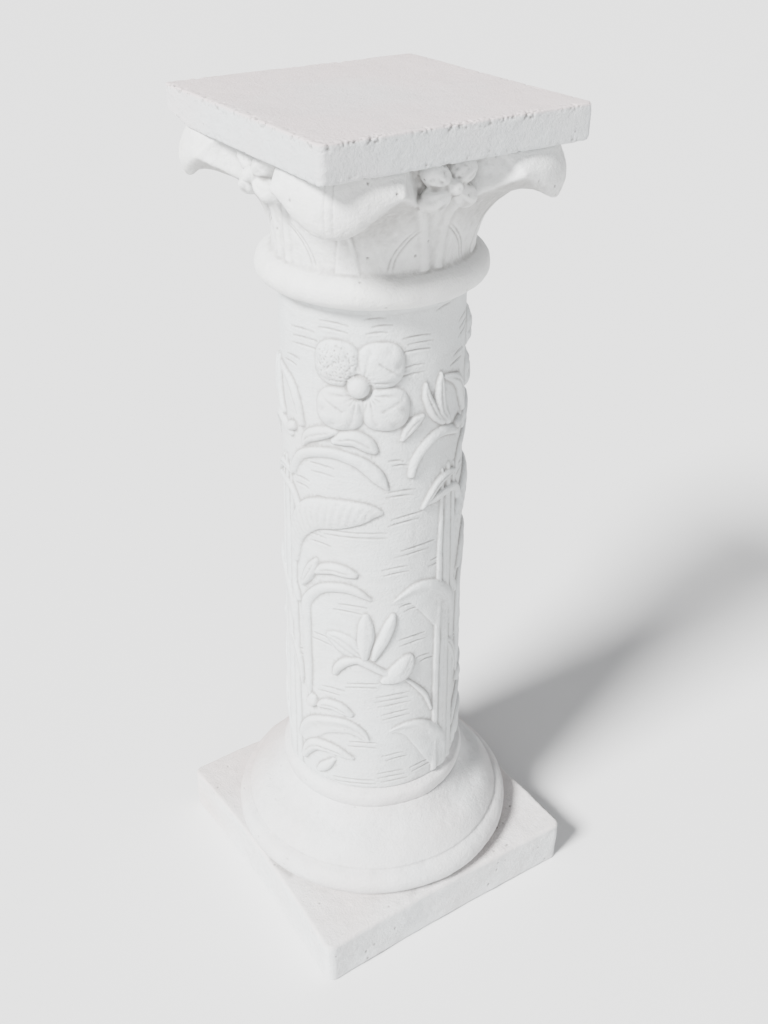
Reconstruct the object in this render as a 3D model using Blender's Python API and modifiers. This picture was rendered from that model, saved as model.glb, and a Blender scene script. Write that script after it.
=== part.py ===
"""A cast plaster column about 80 cm high: square plinth, moulded round base, tapering shaft carved
with vines and flowers, leafy capital with a collar, and a square abacus slab.

Metres, +Z up. The origin is the middle of the plinth's underside. The slabs' sides lie along X and Y.
"""

import math

import bmesh
import bpy
import numpy as np
from mathutils import Matrix, Vector

# Joints between the pieces
JOINT_GAP = 0.0003

# Plinth
PLINTH_SIDE = 0.296
PLINTH_THICKNESS = 0.050
PLINTH_CORNER_RADIUS = 0.010
PLINTH_EDGE_RADIUS = 0.0035
PLINTH_BOW_LEFT = 0.006
PLINTH_BOW_FRONT = 0.003

# Base, from the bottom up: a torus, a flare between two grooves, and a rounded band under the shaft
BASE_SETBACK = 0.0027
BASE_TORUS_HEIGHT = 0.031
BASE_FLARE_HEIGHT = 0.0455
BASE_BAND_HEIGHT = 0.0202
BASE_GROOVE_DEPTH = 0.0022
BASE_GROOVE_WIDTH = 0.0024
BASE_SHOULDER = 0.0118
BASE_BAND_PROUD = 0.0072
BASE_FLARE_CURL = 0.45

# Shaft
SHAFT_HEIGHT = 0.508
SHAFT_FOOT_RADIUS = 0.0865
SHAFT_TOP_RADIUS = 0.0790
SHAFT_LIP_HEIGHT = 0.006
SHAFT_LIP_PROUD = 0.0016

# Carving on the shaft: three equal panels
PANELS = 3
PANEL_MIDDLE = math.radians(-129.3)
CARVING_RELIEF = 0.0045
CARVING_HEIGHT = 0.508

# Capital: a torus collar, a bell, four corner leaves and four flowers
COLLAR_HEIGHT = 0.0255
COLLAR_PROUD = 0.0190
BELL_HEIGHT = 0.0906
BELL_FOOT_STEP = 0.0040
BELL_RIM_STEP = 0.0240
LEAF_SETBACKS = (0.0167, 0.0107, 0.0197, 0.0167)
LEAF_HALF_WIDTH = 0.056
LEAF_NARROWING = 0.12
LEAF_FLANK_LEAN = 0.05
LEAF_TOP_SINK = 0.0003
FLOWER_WIDTH = 0.058
FLOWER_HEIGHT = 0.040
FLOWER_DEPTH = 0.016
FLOWER_DROP = 0.0215
FLOWER_BUTTON_RADIUS = 0.0075

# Abacus
ABACUS_SIDE = 0.240
ABACUS_THICKNESS = 0.028
ABACUS_CORNER_RADIUS = 0.005
ABACUS_EDGE_RADIUS = 0.0018
ABACUS_CHIP_LENGTH = 0.030
ABACUS_CHIP_HEIGHT = 0.007

# Turning
TURN_STEPS = 36
CARVED_STEPS = 240
CARVED_ROWS = 196
SHAFT_FACES_KEPT = 0.058
CAPITAL_FACES_KEPT = 0.62
MERGE_DISTANCE = 0.00001

# Levels and radii that follow from the sizes above
BASE_BOTTOM = PLINTH_THICKNESS + JOINT_GAP
BASE_TOP = BASE_BOTTOM + BASE_TORUS_HEIGHT + BASE_FLARE_HEIGHT + BASE_BAND_HEIGHT
SHAFT_BOTTOM = BASE_TOP + JOINT_GAP
SHAFT_TOP = SHAFT_BOTTOM + SHAFT_HEIGHT
COLLAR_BOTTOM = SHAFT_TOP + JOINT_GAP
BELL_BOTTOM = COLLAR_BOTTOM + COLLAR_HEIGHT
BELL_TOP = BELL_BOTTOM + BELL_HEIGHT
ABACUS_BOTTOM = BELL_TOP + JOINT_GAP
BASE_RADIUS = PLINTH_SIDE / 2 - BASE_SETBACK
BELL_FOOT_RADIUS = SHAFT_TOP_RADIUS + BELL_FOOT_STEP
BELL_RIM_RADIUS = SHAFT_TOP_RADIUS + BELL_RIM_STEP
ABACUS_CORNER_REACH = ABACUS_SIDE / math.sqrt(2)
SHAFT_MEAN_RADIUS = (SHAFT_FOOT_RADIUS + SHAFT_TOP_RADIUS) / 2

# Corner leaf: outward share from the bell's foot to the leaf's reach, and share of the bell's height,
# along its middle and along its edge, and how pointed the leaf is across there
LEAF_MIDDLE = [(0.00, 0.00), (0.02, 0.12), (0.10, 0.31), (0.25, 0.46), (0.46, 0.58), (0.64, 0.62),
               (0.79, 0.58), (0.91, 0.51), (0.99, 0.63), (1.00, 0.76), (0.95, 0.89), (0.88, 1.00)]
LEAF_EDGE = [(-0.32, 0.00), (-0.30, 0.20), (-0.23, 0.42), (-0.13, 0.54), (0.04, 0.63), (0.25, 0.70),
             (0.47, 0.765), (0.62, 0.815), (0.60, 0.85), (0.52, 0.90), (0.42, 0.95), (0.34, 1.00)]
LEAF_POINTS = [0.86, 0.86, 0.90, 0.92, 0.96, 1.15, 1.40, 1.45, 1.10, 0.85, 0.80, 0.75]

# Carving strokes of one panel: degrees across from the panel's middle line, millimetres above the
# shaft's foot, and the stroke's width there in millimetres
STEM_RIBS = [
    [(51, 3, 6), (52, 90, 8), (53, 190, 8), (54, 350, 4)],
    [(60, 3, 9), (60, 100, 10), (60, 200, 9), (60, 352, 5)],
    [(69, 3, 6), (68, 90, 8), (67, 190, 8), (66, 350, 4)],
]
UPPER_LEAVES = [
    [(-40, 376, 5), (-29, 391, 13), (-17, 397, 6)],
    [(-16, 388, 6), (-5, 393, 15), (6, 384, 9)],
    [(37, 409, 6), (30, 403, 12), (24, 391, 5)],
    [(54, 438, 4), (68, 428, 12), (79, 396, 9)],
    [(53, 398, 7), (44, 413, 10), (39, 436, 4)],
    [(58, 396, 8), (50, 418, 12), (50, 441, 5)],
]
UPPER_SCROLLS = [
    [(-51, 345, 8), (-44, 362, 9), (-32, 372, 9), (-18, 376, 10), (-4, 372, 11), (8, 360, 13), (15, 346, 3)],
    [(68, 381, 8), (58, 387, 10), (48, 388, 10), (39, 381, 10), (32, 368, 9), (30, 356, 7)],
]
PLUME = [(-51, 253, 9), (-49, 278, 16), (-42, 298, 25), (-32, 311, 30), (-18, 317, 30), (-4, 321, 23),
         (10, 322, 6)]
MIDDLE_LEAVES = [
    [(-43, 232, 6), (-37, 247, 12), (-31, 263, 5)],
    [(-31, 251, 6), (-19, 260, 12), (-5, 258, 6)],
    [(-48, 209, 6), (-50, 217, 9), (-52, 226, 5)],
    [(38, 320, 4), (46, 333, 9), (56, 343, 9), (68, 342, 5)],
    [(42, 323, 5), (54, 327, 10), (66, 327, 10), (73, 315, 10), (79, 293, 5)],
]
MIDDLE_SCROLL = [(-41, 205, 10), (-39, 214, 10), (-33, 226, 10), (-24, 236, 10), (-13, 241, 10), (-2, 238, 9),
                 (5, 231, 3)]
MIDDLE_VINE = [(-39, 103, 4), (-40, 140, 10), (-41, 203, 11)]
BROAD_LEAVES = [
    [(19, 226, 3), (27, 230, 13), (36, 231, 24), (46, 222, 34), (55, 207, 36), (60, 188, 24)],
    [(19, 74, 3), (27, 75, 12), (35, 70, 22), (44, 55, 30), (52, 36, 32), (57, 14, 20)],
    [(57, 163, 5), (65, 153, 11), (71, 136, 11), (73, 111, 4)],
]
TULIP = [
    [(2, 211, 6), (2, 190, 16), (1, 166, 8)],
    [(19, 211, 6), (14, 192, 12), (8, 166, 6)],
    [(-20, 184, 8), (-13, 180, 20), (-6, 170, 10)],
    [(-17, 146, 8), (-12, 158, 10), (-4, 162, 9), (5, 156, 8), (15, 146, 8)],
    [(14, 139, 9), (23, 147, 22), (29, 160, 9)],
    [(29, 134, 4), (36, 122, 5), (43, 107, 5), (48, 86, 3)],
]
LOWER_LEAVES = [
    [(-31, 96, 5), (-22, 102, 12), (-9, 96, 6)],
    [(-39, 90, 8), (-37, 96, 13), (-35, 102, 8)],
    [(-46, 18, 8), (-39, 36, 13), (-29, 45, 14), (-18, 45, 12), (-7, 39, 4)],
    [(-20, 31, 5), (-26, 21, 9), (-32, 11, 6)],
]
LOWER_SCROLL = [(-46, 43, 13), (-38, 61, 22), (-27, 73, 20), (-14, 79, 18), (-3, 75, 12), (3, 65, 5)]
FLOWER_PETALS = [(-14.6, 459), (11.5, 459), (14.5, 421), (-11.7, 419)]
FLOWER_MIDDLE = (-1.8, 440)
PETAL_HALF_SIZES = (20.5, 19.5)
BUTTON_HALF_SIZES = (10, 10)


def clear_scene():
    """Remove what the scene holds."""
    for item in list(bpy.data.objects):
        bpy.data.objects.remove(item, do_unlink=True)


def add_collection(name, hidden=False):
    collection = bpy.data.collections.new(name)
    bpy.context.scene.collection.children.link(collection)
    collection.hide_render = hidden
    return collection


def add_object(name, mesh, collection):
    item = bpy.data.objects.new(name, mesh)
    collection.objects.link(item)
    return item


def add_cutter(name, mesh, collection):
    """A shape that a Boolean modifier reads; it is not a piece of its own."""
    item = add_object(name, mesh, collection)
    item.hide_render = True
    item.display_type = 'WIRE'
    return item


def plaster(name, colour, roughness):
    """A matte painted plaster."""
    material = bpy.data.materials.new(name)
    material.use_nodes = True
    shader = material.node_tree.nodes['Principled BSDF']
    shader.inputs['Base Color'].default_value = (*colour, 1.0)
    shader.inputs['Roughness'].default_value = roughness
    shader.inputs['Metallic'].default_value = 0.0
    return material


def finish_mesh(bm, name):
    """Turn the faces outwards and make a mesh."""
    bmesh.ops.remove_doubles(bm, verts=bm.verts[:], dist=MERGE_DISTANCE)
    bmesh.ops.recalc_face_normals(bm, faces=bm.faces[:])
    mesh = bpy.data.meshes.new(name)
    bm.to_mesh(mesh)
    bm.free()
    return mesh


def smooth_mesh(item, angle=math.radians(40)):
    item.data.shade_smooth()
    item.data.set_sharp_from_angle(angle=angle)


def arc(centre, radii, start, stop, steps):
    """Points on a quarter or a half of an ellipse in the profile plane, from start to stop degrees."""
    points = []
    for index in range(steps + 1):
        angle = math.radians(start + (stop - start) * index / steps)
        points.append((centre[0] + radii[0] * math.cos(angle), centre[1] + radii[1] * math.sin(angle)))
    return points


def turned(name, profile, collection, steps=TURN_STEPS):
    """Turn a profile, which runs from the axis down the outer side and back to the axis."""
    mesh = bpy.data.meshes.new(name)
    verts = [(radius, 0.0, height) for radius, height in profile]
    edges = [(index, index + 1) for index in range(len(verts) - 1)]
    mesh.from_pydata(verts, edges, [])
    item = add_object(name, mesh, collection)
    screw = item.modifiers.new('Turn', 'SCREW')
    screw.axis = 'Z'
    screw.angle = 2 * math.pi
    screw.steps = steps
    screw.render_steps = steps
    screw.use_merge_vertices = True
    screw.merge_threshold = MERGE_DISTANCE
    screw.use_smooth_shade = True
    return item


def smooth_route(points, steps_between=4):
    """Points along a smooth curve through the given ones, with the widths carried along."""
    ends = np.array([points[0], *points, points[-1]], dtype=float)
    route = []
    for before, start, stop, after in zip(ends, ends[1:], ends[2:], ends[3:]):
        for step in range(steps_between):
            t = step / steps_between
            route.append(0.5 * (2 * start + (stop - before) * t
                                + (2 * before - 5 * start + 4 * stop - after) * t * t
                                + (3 * start - before - 3 * stop + after) * t ** 3))
    route.append(ends[-1])
    return route


def shaft_radius(height):
    """Radius of the bare shaft at a height above the floor."""
    share = (height - SHAFT_BOTTOM) / SHAFT_HEIGHT
    return SHAFT_FOOT_RADIUS + (SHAFT_TOP_RADIUS - SHAFT_FOOT_RADIUS) * share


def stroke_relief(across, up, points):
    """Relief of one stroke, as a share of the full relief: half round, and zero beside the stroke.

    across is in degrees from the panel's middle line and up in drawn millimetres."""
    per_degree = math.radians(1) * SHAFT_MEAN_RADIUS * 1000
    widest = max(point[2] for point in points)
    relief = np.zeros_like(across)
    route = smooth_route(points)
    for start, stop in zip(route, route[1:]):
        run = ((stop[0] - start[0]) * per_degree, stop[1] - start[1])
        offset = ((across - start[0]) * per_degree, up - start[1])
        length = run[0] ** 2 + run[1] ** 2
        along = np.clip((offset[0] * run[0] + offset[1] * run[1]) / length, 0.0, 1.0)
        distance = np.hypot(offset[0] - along * run[0], offset[1] - along * run[1])
        half_width = (start[2] + (stop[2] - start[2]) * along) / 2
        height = np.sqrt(half_width * 2 / widest)
        relief = np.maximum(relief, height * np.sqrt(np.clip(1 - (distance / half_width) ** 2, 0.0, 1.0)))
    return relief


def lump_relief(across, up, middle, half_sizes):
    """Relief of a round or oval lump, as a share of the full relief."""
    per_degree = math.radians(1) * SHAFT_MEAN_RADIUS * 1000
    wide = (across - middle[0]) * per_degree / half_sizes[0]
    tall = (up - middle[1]) / half_sizes[1]
    return np.sqrt(np.clip(1 - wide ** 2 - tall ** 2, 0.0, 1.0))


def panel_relief(across, up):
    """Relief of one panel in metres: stems, vines, leaves, scrolls, a tulip and a flower."""
    strokes = STEM_RIBS + UPPER_LEAVES + UPPER_SCROLLS + [PLUME] + MIDDLE_LEAVES + [MIDDLE_SCROLL]
    strokes += [MIDDLE_VINE] + BROAD_LEAVES + TULIP + LOWER_LEAVES + [LOWER_SCROLL]
    relief = np.zeros_like(across)
    for points in strokes:
        relief = np.maximum(relief, stroke_relief(across, up, points))
    for middle in FLOWER_PETALS:
        relief = np.maximum(relief, lump_relief(across, up, middle, PETAL_HALF_SIZES) * 1.1)
    relief = np.maximum(relief, lump_relief(across, up, FLOWER_MIDDLE, BUTTON_HALF_SIZES) * 1.5)
    return relief * CARVING_RELIEF


def carve_shaft(mesh):
    """Move each point of a turned shaft outwards by the relief there."""
    places = np.array([vert.co for vert in mesh.vertices])
    angles = np.degrees(np.arctan2(places[:, 1], places[:, 0]) - PANEL_MIDDLE)
    width = 360 / PANELS
    across = (angles + width / 2) % width - width / 2
    up = (places[:, 2] - SHAFT_BOTTOM) * 1000 * CARVING_HEIGHT / SHAFT_HEIGHT
    relief = np.zeros_like(across)
    for shift in (-width, 0.0, width):
        relief = np.maximum(relief, panel_relief(across + shift, up))
    radii = np.hypot(places[:, 0], places[:, 1])
    for vert, radius, proud in zip(mesh.vertices, radii, relief):
        if radius > SHAFT_TOP_RADIUS / 2:
            scale = 1 + proud / radius
            vert.co.x *= scale
            vert.co.y *= scale
    mesh.update()


def rounded_lump(name, place, half_sizes, turn=0.0, rings=5, around=8):
    """A flattened ball in the XZ plane, for a petal or a button."""
    bm = bmesh.new()
    bmesh.ops.create_uvsphere(bm, u_segments=around, v_segments=rings, radius=1.0,
                              matrix=Matrix.Rotation(math.pi / 2, 4, 'X'))
    bmesh.ops.scale(bm, vec=half_sizes, verts=bm.verts[:])
    bmesh.ops.rotate(bm, cent=(0, 0, 0), matrix=Matrix.Rotation(turn, 3, 'Y'), verts=bm.verts[:])
    bmesh.ops.translate(bm, vec=place, verts=bm.verts[:])
    return finish_mesh(bm, name)


def thin_out(item, keep):
    """Keep this share of the faces, most of them where the surface bends."""
    thin = item.modifiers.new('Fewer faces', 'DECIMATE')
    thin.decimate_type = 'COLLAPSE'
    thin.ratio = keep


def unite(item, collection, keep):
    """Join the shapes of a collection to a piece, and keep this share of the faces."""
    union = item.modifiers.new('Join', 'BOOLEAN')
    union.operation = 'UNION'
    union.operand_type = 'COLLECTION'
    union.collection = collection
    union.solver = 'EXACT'
    thin_out(item, keep)


def slab_outline(side, bows, corner_radius, corner_steps=4, side_steps=6):
    """Corners and sides of a slab, counter-clockwise from the front side: front, right, back, left."""
    half = side / 2
    straight = half - corner_radius
    points = []
    for index, bow in enumerate(bows):
        turn = Matrix.Rotation(index * math.pi / 2, 3, 'Z')
        steps = side_steps if bow else 1
        for step in range(steps + 1):
            share = 2 * step / steps - 1
            points.append(turn @ Vector((share * straight, -half + bow * (1 - share * share), 0.0)))
        for step in range(1, corner_steps):
            angle = math.pi / 2 * (step / corner_steps - 1)
            points.append(turn @ Vector((straight + corner_radius * math.cos(angle),
                                         -straight + corner_radius * math.sin(angle), 0.0)))
    return points


def slab(name, side, bottom, thickness, bows, corner_radius, edge_radius, collection):
    """A square slab with rounded corners and edges, whose sides may bow inwards."""
    bm = bmesh.new()
    outline = slab_outline(side, bows, corner_radius)
    underside = bm.faces.new([bm.verts.new((point.x, point.y, bottom)) for point in outline])
    raised = bmesh.ops.extrude_face_region(bm, geom=[underside], use_keep_orig=True)
    upper = [item for item in raised['geom'] if isinstance(item, bmesh.types.BMVert)]
    bmesh.ops.translate(bm, vec=(0, 0, thickness), verts=upper)
    rims = [edge for edge in bm.edges if edge.calc_face_angle(0.0) > math.radians(60)]
    bmesh.ops.bevel(bm, geom=rims, offset=edge_radius, offset_type='OFFSET', affect='EDGES',
                    segments=2, profile=0.5, material=-1)
    item = add_object(name, finish_mesh(bm, name), collection)
    smooth_mesh(item)
    return item


def make_plinth(collection):
    bows = (PLINTH_BOW_FRONT, 0.0, 0.0, PLINTH_BOW_LEFT)
    return slab('plinth', PLINTH_SIDE, 0.0, PLINTH_THICKNESS, bows,
                PLINTH_CORNER_RADIUS, PLINTH_EDGE_RADIUS, collection)


def make_base(collection):
    """A torus, an S-shaped flare between two grooves, and a rounded band under the shaft."""
    torus_top = BASE_BOTTOM + BASE_TORUS_HEIGHT
    flare_top = torus_top + BASE_FLARE_HEIGHT
    flare_outer = BASE_RADIUS - BASE_SHOULDER
    flare_inner = SHAFT_FOOT_RADIUS + BASE_BAND_PROUD
    band_foot = flare_inner - BASE_GROOVE_DEPTH
    profile = [(0.0, BASE_TOP), (SHAFT_FOOT_RADIUS + JOINT_GAP, BASE_TOP)]
    profile += arc((band_foot - BASE_GROOVE_WIDTH, flare_top + BASE_BAND_HEIGHT * 0.42),
                   (BASE_GROOVE_WIDTH * 1.6, BASE_BAND_HEIGHT * 0.42), 60, -70, 3)
    profile.append((band_foot, flare_top + BASE_GROOVE_WIDTH / 3))
    flare_steps = 6
    for index in range(flare_steps + 1):
        share = index / flare_steps
        fall = share + BASE_FLARE_CURL * math.sin(2 * math.pi * share) / (2 * math.pi)
        profile.append((flare_inner + (flare_outer - flare_inner) * share,
                        flare_top - (BASE_FLARE_HEIGHT - BASE_GROOVE_WIDTH) * fall))
    profile.append((flare_outer - BASE_GROOVE_DEPTH, torus_top + BASE_GROOVE_WIDTH / 3))
    tube = BASE_TORUS_HEIGHT / 2
    profile += arc((BASE_RADIUS - tube, BASE_BOTTOM + tube), (tube, tube), 70, -90, 6)
    profile.append((0.0, BASE_BOTTOM))
    item = turned('base', profile, collection)
    smooth_mesh(item)
    return item


def make_shaft(collection):
    """A tapering round shaft with a small lip at its top, carved in three panels."""
    lip = [(SHAFT_TOP_RADIUS + SHAFT_LIP_PROUD, SHAFT_TOP),
           (SHAFT_TOP_RADIUS + SHAFT_LIP_PROUD, SHAFT_TOP - SHAFT_LIP_HEIGHT / 2)]
    profile = [(0.0, SHAFT_TOP), *lip]
    carved_top = SHAFT_TOP - SHAFT_LIP_HEIGHT
    for row in range(CARVED_ROWS + 1):
        height = carved_top + (SHAFT_BOTTOM - carved_top) * row / CARVED_ROWS
        profile.append((shaft_radius(height), height))
    profile.append((0.0, SHAFT_BOTTOM))
    blank = turned('blank', profile, collection, CARVED_STEPS)
    bpy.context.view_layer.update()
    mesh = bpy.data.meshes.new_from_object(blank.evaluated_get(bpy.context.evaluated_depsgraph_get()))
    bpy.data.objects.remove(blank, do_unlink=True)
    carve_shaft(mesh)
    mesh.name = 'shaft'
    item = add_object('shaft', mesh, collection)
    thin_out(item, SHAFT_FACES_KEPT)
    return item


def corner_leaf(name, collection, turn, setback, columns=8):
    """A broad leaf that climbs the bell, curls out under a corner of the abacus and hangs its tip.
    Its flanks stand upright and its top is flat under the abacus."""
    rows = len(LEAF_MIDDLE)
    bm = bmesh.new()
    bmesh.ops.create_grid(bm, x_segments=columns, y_segments=rows - 1, size=1.0)
    reach = ABACUS_CORNER_REACH - setback - BELL_FOOT_RADIUS
    leaf_top = BELL_TOP - LEAF_TOP_SINK
    for vert in bm.verts:
        side = vert.co.x
        row = round((vert.co.y + 1) / 2 * (rows - 1))
        weight = (1 - side * side) ** LEAF_POINTS[row]
        out = LEAF_EDGE[row][0] + (LEAF_MIDDLE[row][0] - LEAF_EDGE[row][0]) * weight
        up = LEAF_EDGE[row][1] + (LEAF_MIDDLE[row][1] - LEAF_EDGE[row][1]) * weight
        height = BELL_BOTTOM + (leaf_top - BELL_BOTTOM) * up
        across = LEAF_HALF_WIDTH * (1 - LEAF_NARROWING * LEAF_EDGE[row][1] ** 2) * side
        vert.co = (BELL_FOOT_RADIUS + reach * out, across, height)
    rim = [edge for edge in bm.edges if edge.is_boundary]
    flank = bmesh.ops.extrude_edge_only(bm, edges=rim)['geom']
    furthest = BELL_FOOT_RADIUS + reach * LEAF_EDGE[-1][0]
    for vert in [item for item in flank if isinstance(item, bmesh.types.BMVert)]:
        place = Vector((min(vert.co.x, furthest), vert.co.y)) * (1 - LEAF_FLANK_LEAN)
        vert.co = (place.x, place.y, leaf_top)
    rim = [edge for edge in bm.edges if edge.is_boundary]
    spread = bmesh.ops.extrude_edge_only(bm, edges=rim)['geom']
    heart = [item for item in spread if isinstance(item, bmesh.types.BMVert)]
    bmesh.ops.pointmerge(bm, verts=heart, merge_co=(BELL_FOOT_RADIUS * 0.9, 0.0, leaf_top))
    bmesh.ops.rotate(bm, cent=(0, 0, 0), matrix=Matrix.Rotation(turn, 3, 'Z'), verts=bm.verts[:])
    add_cutter(name, finish_mesh(bm, name), collection)


def bell_radius(height):
    """Radius of the bell at a height above the floor: it opens out towards its rim."""
    share = (height - BELL_BOTTOM) / BELL_HEIGHT
    return BELL_FOOT_RADIUS + (BELL_RIM_RADIUS - BELL_FOOT_RADIUS) * share ** 2


def face_flower(index, collection):
    """Four petals and a button at the middle of one face of the capital."""
    middle = BELL_TOP - FLOWER_DROP
    depth = bell_radius(middle)
    turn = Matrix.Rotation(index * math.pi / 2, 4, 'Z')
    for side in (-1, 1):
        for level in (-1, 1):
            place = (side * FLOWER_WIDTH / 4, -depth, middle + level * FLOWER_HEIGHT / 4)
            half_sizes = (FLOWER_WIDTH / 3.6, FLOWER_DEPTH * 0.65, FLOWER_HEIGHT / 4.2)
            mesh = rounded_lump('petal', place, half_sizes, turn=side * level * math.radians(25))
            mesh.transform(turn)
            add_cutter('capital petal %d %d %d' % (index, side, level), mesh, collection)
    place = (0.0, -depth - FLOWER_DEPTH * 0.35, middle)
    half_sizes = (FLOWER_BUTTON_RADIUS, FLOWER_DEPTH * 0.7, FLOWER_BUTTON_RADIUS)
    mesh = rounded_lump('button', place, half_sizes)
    mesh.transform(turn)
    add_cutter('capital button %d' % index, mesh, collection)


def make_capital(collection, cutters):
    """The collar and the bell in one turned core, with the leaves and flowers joined on."""
    tube = COLLAR_HEIGHT / 2
    collar_radius = SHAFT_TOP_RADIUS + COLLAR_PROUD
    profile = [(0.0, BELL_TOP)]
    bell_steps = 6
    for index in range(bell_steps + 1):
        height = BELL_TOP - BELL_HEIGHT * index / bell_steps
        profile.append((bell_radius(height), height))
    profile += arc((collar_radius - tube, COLLAR_BOTTOM + tube), (tube, tube), 75, -90, 6)
    profile.append((0.0, COLLAR_BOTTOM))
    item = turned('capital', profile, collection)
    for index, setback in enumerate(LEAF_SETBACKS):
        corner_leaf('corner leaf %d' % index, cutters, math.radians(45 + 90 * index), setback)
        face_flower(index, cutters)
    unite(item, cutters, CAPITAL_FACES_KEPT)
    return item


def make_abacus(collection, cutters):
    """The slab on top, with a bit broken from the lower edge of its left corner."""
    item = slab('abacus', ABACUS_SIDE, ABACUS_BOTTOM, ABACUS_THICKNESS, (0.0, 0.0, 0.0, 0.0),
                ABACUS_CORNER_RADIUS, ABACUS_EDGE_RADIUS, collection)
    bm = bmesh.new()
    bmesh.ops.create_cube(bm, size=1.0)
    size = (ABACUS_CHIP_LENGTH, ABACUS_CHIP_LENGTH, ABACUS_CHIP_HEIGHT * 2)
    bmesh.ops.scale(bm, vec=size, verts=bm.verts[:])
    bmesh.ops.rotate(bm, cent=(0, 0, 0), matrix=Matrix.Rotation(math.radians(18), 3, 'Y'), verts=bm.verts[:])
    bmesh.ops.rotate(bm, cent=(0, 0, 0), matrix=Matrix.Rotation(math.radians(-45), 3, 'Z'), verts=bm.verts[:])
    corner = ABACUS_SIDE / 2
    break_level = ABACUS_BOTTOM - ABACUS_CHIP_HEIGHT * 0.4
    bmesh.ops.translate(bm, vec=(-corner, corner, break_level), verts=bm.verts[:])
    cutter = add_cutter('corner break', finish_mesh(bm, 'corner break'), cutters)
    cut = item.modifiers.new('Break', 'BOOLEAN')
    cut.operation = 'DIFFERENCE'
    cut.object = cutter
    cut.solver = 'EXACT'
    return item


def main():
    clear_scene()
    parts = add_collection('decorative column')
    capital_cutters = add_collection('capital leaves', hidden=True)
    break_cutters = add_collection('breaks', hidden=True)
    plinth = make_plinth(parts)
    base = make_base(parts)
    shaft = make_shaft(parts)
    capital = make_capital(parts, capital_cutters)
    abacus = make_abacus(parts, break_cutters)
    slab_white = plaster('plaster, dusty white', (0.78, 0.75, 0.74), 0.85)
    turned_white = plaster('plaster, warm white', (0.82, 0.80, 0.78), 0.80)
    carved_white = plaster('plaster, clean white', (0.84, 0.84, 0.83), 0.78)
    plinth.data.materials.append(slab_white)
    base.data.materials.append(turned_white)
    shaft.data.materials.append(carved_white)
    capital.data.materials.append(turned_white.copy())
    abacus.data.materials.append(slab_white.copy())


main()
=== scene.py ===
"""The looks of the plaster column: five cast pieces with their carving, chips, pits and painted surfaces.

Metres, +Z up, the origin in the middle of the plinth's underside. The column's front corner is the one
between -X and -Y.
"""

import math
from collections import namedtuple

import bmesh
import bpy
import numpy as np
from mathutils import Matrix, Vector


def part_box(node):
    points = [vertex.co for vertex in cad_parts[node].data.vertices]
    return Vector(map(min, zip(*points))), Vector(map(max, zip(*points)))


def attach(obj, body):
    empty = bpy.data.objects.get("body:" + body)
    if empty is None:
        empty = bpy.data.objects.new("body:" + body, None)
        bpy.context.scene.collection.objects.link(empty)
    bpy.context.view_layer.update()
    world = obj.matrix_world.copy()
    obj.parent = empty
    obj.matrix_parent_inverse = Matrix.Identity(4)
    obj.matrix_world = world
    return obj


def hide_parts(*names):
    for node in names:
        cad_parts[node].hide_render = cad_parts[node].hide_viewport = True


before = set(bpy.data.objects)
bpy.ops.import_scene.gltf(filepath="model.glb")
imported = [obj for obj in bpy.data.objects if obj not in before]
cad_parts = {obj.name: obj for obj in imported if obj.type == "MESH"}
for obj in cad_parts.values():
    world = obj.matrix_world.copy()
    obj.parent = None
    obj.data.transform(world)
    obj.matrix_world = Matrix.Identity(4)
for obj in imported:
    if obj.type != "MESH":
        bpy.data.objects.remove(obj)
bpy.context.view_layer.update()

# Sizes and levels read from the solids
PLINTH_LOW, PLINTH_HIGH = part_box("plinth")
BASE_LOW, BASE_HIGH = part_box("base")
SHAFT_LOW, SHAFT_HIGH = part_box("shaft")
CAPITAL_LOW, CAPITAL_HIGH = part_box("capital")
ABACUS_LOW, ABACUS_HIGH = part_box("abacus")

# Driving sizes: those of the solids, but for shallower grooves and softer flanks of the leaves
PLINTH_CORNER_RADIUS = 0.010
PLINTH_EDGE_RADIUS = 0.0035
PLINTH_BOW_LEFT = 0.006
PLINTH_BOW_FRONT = 0.003
TORUS_HEIGHT = 0.031
FLARE_HEIGHT = 0.0455
BAND_HEIGHT = 0.0202
GROOVE_DEPTH = 0.0009
GROOVE_WIDTH = 0.0024
FLARE_SHOULDER = 0.0118
BAND_PROUD = 0.0072
FLARE_CURL = 0.45
BASE_STEPS = 180
BASE_SMOOTHING = 14
PROFILE_SPACING = 0.0022
SHAFT_FOOT_RADIUS = 0.0865
SHAFT_TOP_RADIUS = 0.0790
COLLAR_HEIGHT = 0.0255
COLLAR_PROUD = 0.0190
BELL_FOOT_STEP = 0.0040
BELL_RIM_STEP = 0.0240
LEAF_HALF_WIDTH = 0.056
LEAF_NARROWING = 0.16
LEAF_FLANK_LEAN = 0.14
LEAF_SETBACKS = (0.0167, 0.0107, 0.0197, 0.0167)
ABACUS_CORNER_RADIUS = 0.005
ABACUS_EDGE_RADIUS = 0.0018
CRUMBLE_DEPTH = 0.0036
BREAK_HEIGHT = 0.0088
BREAK_LENGTH = 0.036

# Levels
SHAFT_BOTTOM = SHAFT_LOW[2]
SHAFT_TOP = SHAFT_HIGH[2]
SHAFT_HEIGHT = SHAFT_TOP - SHAFT_BOTTOM
SHAFT_MEAN_RADIUS = (SHAFT_FOOT_RADIUS + SHAFT_TOP_RADIUS) / 2
BASE_RADIUS = BASE_HIGH[0]
COLLAR_BOTTOM = CAPITAL_LOW[2]
BELL_BOTTOM = COLLAR_BOTTOM + COLLAR_HEIGHT
BELL_TOP = CAPITAL_HIGH[2]
BELL_HEIGHT = BELL_TOP - BELL_BOTTOM

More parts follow.
